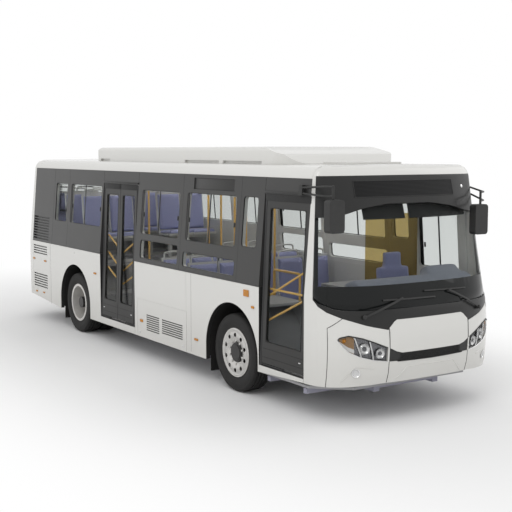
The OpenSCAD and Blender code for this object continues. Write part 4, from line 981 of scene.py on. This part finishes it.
# Dashboard and driver's place
# A smooth blue-grey moulding with a hood over the dials, a smoked amber screen behind the driver and a sprung
# seat in blue cloth with a headrest.
dash_skin = moulded("blue-grey dash skin", (0.2, 0.215, 0.26), (0.24, 0.255, 0.3), 0.5)
dials = []
for x, r in ((0.5, 0.045), (0.62, 0.06), (0.74, 0.045)):
    face_at = Matrix.Translation((x, -3.931, 1.45)) @ Matrix.Rotation(-pi / 2 - 0.083, 4, "X")
    ring = [(r, -0.006), (r, 0.004), (0.92 * r, 0.006), (0.86 * r, 0.003), (0.86 * r, -0.001), (0, -0.001)]
    dials.append(turned("dial", ring, 28, face_at, black_plastic))
joined("dash_dials", dials)
screen_tint = clear_glass("smoked amber screen", (0.78, 0.68, 0.44), 0.08)
eased("tinted_panel", screen_tint, "driver_partition", edge=0.0)
thread = 1800.0
weave = Finish("light blue seat cloth", 0.15, {"Sheen Weight": 0.25})
x, y, z = weave.axes
threads = x.math("SINE", x * thread) * z.math("SINE", (y + z) * thread)
mottled = weave.noise(45.0, 4.0)
weave.show(weave.tint(mottled, (0.29, 0.305, 0.52), (0.37, 0.39, 0.62)), mottled * 0.1 + 0.8)
weave.grain(threads, 0.35, 0.0008)


def soft(piece, size, rounds):
    """Rounds a solid into a soft shape."""
    harden(piece, "REMESH", mode="VOXEL", voxel_size=size)
    harden(piece, "SMOOTH", factor=0.5, iterations=rounds)


dash = eased("dash_blue_grey", dash_skin, "dashboard", edge=0.0)
soft(dash, 0.02, 30)
smooth(dash, 60)
seat = eased("seat_blue", weave.material, "driver_seat", edge=0.0)
soft(seat, 0.014, 30)
smooth(seat, 60)

# Passenger seats
# Light grey moulded shells on steel pedestals, with a loop handle on each back and foam pads in blue cloth.
# One cushion and one back are blown up as cloth, held where they are glued, and set in every seat.
shell_grey = moulded("light grey shell", (0.58, 0.58, 0.575), (0.64, 0.64, 0.63), 0.5)
eased("seat_frame", shell_grey, "seat_shells", edge=0.008, degrees=50)
pad_copy = placed("pad_solid", frame["nodes"]["seat_pads"].data.copy())
edit(pad_copy, (bpy.ops.mesh.remove_doubles, {"threshold": weld}), (bpy.ops.mesh.separate, {"type": "LOOSE"}))
solids = [o for o in bpy.context.scene.objects if o.name.startswith("pad_solid")]
last_tick = 20
most_swell = 0.012


def corner_of(piece):
    """The least corner of a solid and its size."""
    low = Vector([min(v.co[k] for v in piece.data.vertices) for k in range(3)])
    high = Vector([max(v.co[k] for v in piece.data.vertices) for k in range(3)])
    return low, high - low


def stuffed(piece, glued):
    """Blows a solid up as cloth with pressure inside. No point moves further than most_swell."""
    soft(piece, 0.011, 4)
    rest = [v.co.copy() for v in piece.data.vertices]
    hold = piece.vertex_groups.new(name="glued")
    hold.add([v.index for v in piece.data.vertices if glued(v.co)], 1.0, "REPLACE")
    only(piece)
    cloth = piece.modifiers.new("stuffing", "CLOTH")
    cloth.settings.vertex_group_mass = "glued"
    cloth.settings.use_pressure = True
    cloth.settings.uniform_pressure_force = 4.0
    cloth.settings.effector_weights.gravity = 0.0
    cloth.point_cache.frame_start = 1
    cloth.point_cache.frame_end = last_tick
    for tick in range(1, last_tick + 1):
        bpy.context.scene.frame_set(tick)
    bpy.ops.object.modifier_apply(modifier=cloth.name)
    bpy.context.scene.frame_set(1)
    for v, old in zip(piece.data.vertices, rest):
        move = v.co - old
        if move.length > most_swell:
            v.co = old + move * (most_swell / move.length)
    harden(piece, "DECIMATE", ratio=0.45)
    smooth(piece, 60)


# A cushion is flat, a back stands
cushion_solids = [s for s in solids if corner_of(s)[1].z < 0.2]
back_solids = [s for s in solids if corner_of(s)[1].z >= 0.2]
for name, group in (("seat_cushions", cushion_solids), ("seat_backs", back_solids)):
    model = group[0]
    base, size = corner_of(model)
    if name == "seat_cushions":
        stuffed(model, lambda co: co.z < base.z + 0.35 * size.z)
    else:
        stuffed(model, lambda co: co.y > base.y + (0.35 + 0.6 * (co.z - base.z) / size.z) * size.y)
    pads = [model]
    for solid in group[1:]:
        twin = placed("pad", model.data.copy())
        twin.data.transform(Matrix.Translation(corner_of(solid)[0] - base))
        pads.append(twin)
        bpy.data.objects.remove(solid)
    for pad in pads:
        pad.data.materials.clear()
        pad.data.materials.append(weave.material)
        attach(pad, "body")
    whole = joined(name, pads)
    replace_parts(whole, "seat_pads")
# Middle of each pair, front edge, floor
pairs = [(side * 0.7, y, 0.37) for side in (-1, 1) for y in (-1.65, -0.9)] + [(0.7, -0.15, 0.37)]
pairs += [(side * 0.665, y, 1.1383) for side in (-1, 1) for y in (1.9, 2.6, 3.26)]
# One half of a handle: distance from its end, and from the seat's front edge and floor
handle_half = ((0, 0.494, 0.99), (0, 0.512, 1.13), (0.03, 0.516, 1.165))
handle_reach = 0.17
handles = []
for x, y, z in pairs:
    for seat_x in (x - 0.225, x + 0.225):
        loop = [(seat_x - handle_reach + a, y + b, z + c) for a, b, c in handle_half]
        loop += [(seat_x + handle_reach - a, y + b, z + c) for a, b, c in reversed(handle_half)]
        handles.append(rod("seat_handle", loop, 0.012, shell_grey, "body", True, 6))
joined("seat_handles", handles)

# Hand rails
# Steel tube in yellow enamel from floor to ceiling, with long rails under the ceiling and grey clamps where
# they cross. A bent guard rail stands on the front wheel box.
eased("rail_yellow", rail_enamel, "handrails", edge=0.0, degrees=60)
clamp_z = 2.33
clamp = [(0.0162, -0.03), (0.021, -0.028), (0.021, 0.028), (0.0162, 0.03)]
post_x = 0.33
collars = []
for side, y in ((-1, -1.02), (1, -1.02), (-1, -0.31), (1, -0.27), (1, 0.44), (-1, 1.56), (1, 1.56)):
    at = Matrix.Translation((side * post_x, y, clamp_z))
    collars.append(turned("rail_collar", clamp, 20, at, shell_grey))
joined("rail_collars", collars)
box_top = 1.108
bend = 0.08
guard_x, guard_y0, guard_y1, guard_top = -0.6, -2.93, -2.38, 1.46
# One end of the guard: distance in from the end, height
guard_end = ((0, box_top), (0, guard_top - bend), (0, guard_top), (bend, guard_top))
guard = [(guard_x, guard_y0 + off, z) for off, z in guard_end]
guard += [(guard_x, guard_y1 - off, z) for off, z in reversed(guard_end)]
guards = [rod("guard_loop", guard, 0.016, rail_enamel, "body", True, 6)]
box_edge = [(-0.582, y, box_top) for y in (-2.99, -1.81)]
guards.append(rod("box_edge", box_edge, 0.007, rail_enamel))
joined("guard_rail", guards)

# Ceiling lamps
# Two lines of opal plastic lamps run under the ceiling over the seats, clipped to the roof.
lamp_pitch = 1.2
opal = Finish("opal lamp cover", 0.5, {"Base Color": (0.8, 0.8, 0.78), "Roughness": 0.4,
                                       "Emission Strength": 6.0})
y = opal.axes[1]
ends = y.math("SINE", y * (2 * pi / lamp_pitch)) > -0.985
opal.look({"Emission Color": opal.tint(ends, 0.3, (1.0, 0.98, 0.94))})
strip_top = 2.736
strip_end = 3.3
rows = 13
# Section of a lamp: distance from its middle, height below the ceiling
strip = ((-0.06, 0.0), (-0.05, -0.018), (0, -0.026), (0.05, -0.018), (0.06, 0.0))
wide = len(strip)
along_bus = [strip_end * (2 * k / (rows - 1) - 1) for k in range(rows)]
strips = []
for x in (-0.6, 0.6):
    mesh = bpy.data.meshes.new("ceiling_lamp")
    corners = [(x + off, y, strip_top + up) for y in along_bus for off, up in strip]
    faces = [(r * wide + k, r * wide + k + 1, (r + 1) * wide + k + 1, (r + 1) * wide + k)
             for r in range(rows - 1) for k in range(wide - 1)]
    mesh.from_pydata(corners, [], faces)
    cover = placed("ceiling_lamp", mesh)
    harden(cover, "SOLIDIFY", thickness=0.003)
    strips.append(dressed(cover, opal.material, "body", 60))
joined("ceiling_lamps", strips)

# Studio
# A pale floor, a large soft lamp over the kerb side, a fill from the other side and an even pale surround.
floor = shaped("studio_floor", bpy.ops.mesh.primitive_plane_add, size=120, location=(0, 0, 0))
floor_finish = Finish("pale studio floor", 0.5, {"Base Color": 0.86, "Roughness": 0.9})
x, y, _ = floor_finish.axes
far = x.math("SQRT", x * x + y * y * 0.16)
fade = floor_finish.node("MapRange", {0: far, 1: 2.2, 2: 5.0}, clamp=True, interpolation_type="SMOOTHSTEP")
white = floor_finish.node("Emission", {0: (1, 1, 1), 1: 1.0})
floor_finish.mixed(fade, floor_finish.surface, white)
floor.data.materials.append(floor_finish.material)
# Round soft lamps that look at the middle of the bus: name, place, size, watts
for name, place, size, watts in (("key_lamp", (-9, -9, 12), 9.0, 420), ("fill_lamp", (12, -6, 9), 10.0, 220)):
    data = bpy.data.lights.new(name, "AREA")
    data.shape = "DISK"
    data.size = size
    data.energy = watts
    made = placed(name, data)
    made.location = place
    made.rotation_euler = (Vector((0, 0, 1)) - made.location).to_track_quat("-Z", "Y").to_euler()
world = bpy.data.worlds.new("pale surround")
bpy.context.scene.world = world
world.use_nodes = True
sky = world.node_tree
# White where it is seen, straight or in glass, and a little darker as light
path = sky.nodes.new("ShaderNodeLightPath")
seen = path.outputs["Is Camera Ray"]
for kind in ("Is Glossy Ray", "Is Transmission Ray"):
    either = sky.nodes.new("ShaderNodeMath")
    either.operation = "MAXIMUM"
    sky.links.new(seen, either.inputs[0])
    sky.links.new(path.outputs[kind], either.inputs[1])
    seen = either.outputs[0]
lit = sky.nodes.new("ShaderNodeMapRange")
sky.links.new(seen, lit.inputs[0])
lit.inputs[3].default_value = 0.85
lit.inputs[4].default_value = 1.0
sky.links.new(lit.outputs[0], sky.nodes["Background"].inputs[1])
sky.nodes["Background"].inputs[0].default_value = (1, 1, 1, 1)
bpy.context.scene.view_settings.view_transform = "Standard"

# Camera
# Placed from the wheels, windows and door edges of the photograph.
camera = placed("camera", bpy.data.cameras.new("camera"))
camera.location = (-7.475, -12.524, 2.932)
camera.rotation_euler = (radians(90 - 6.07), 0, radians(-33.07))
camera.data.lens = 69.72
camera.data.sensor_width = 36.0
bpy.context.scene.camera = camera
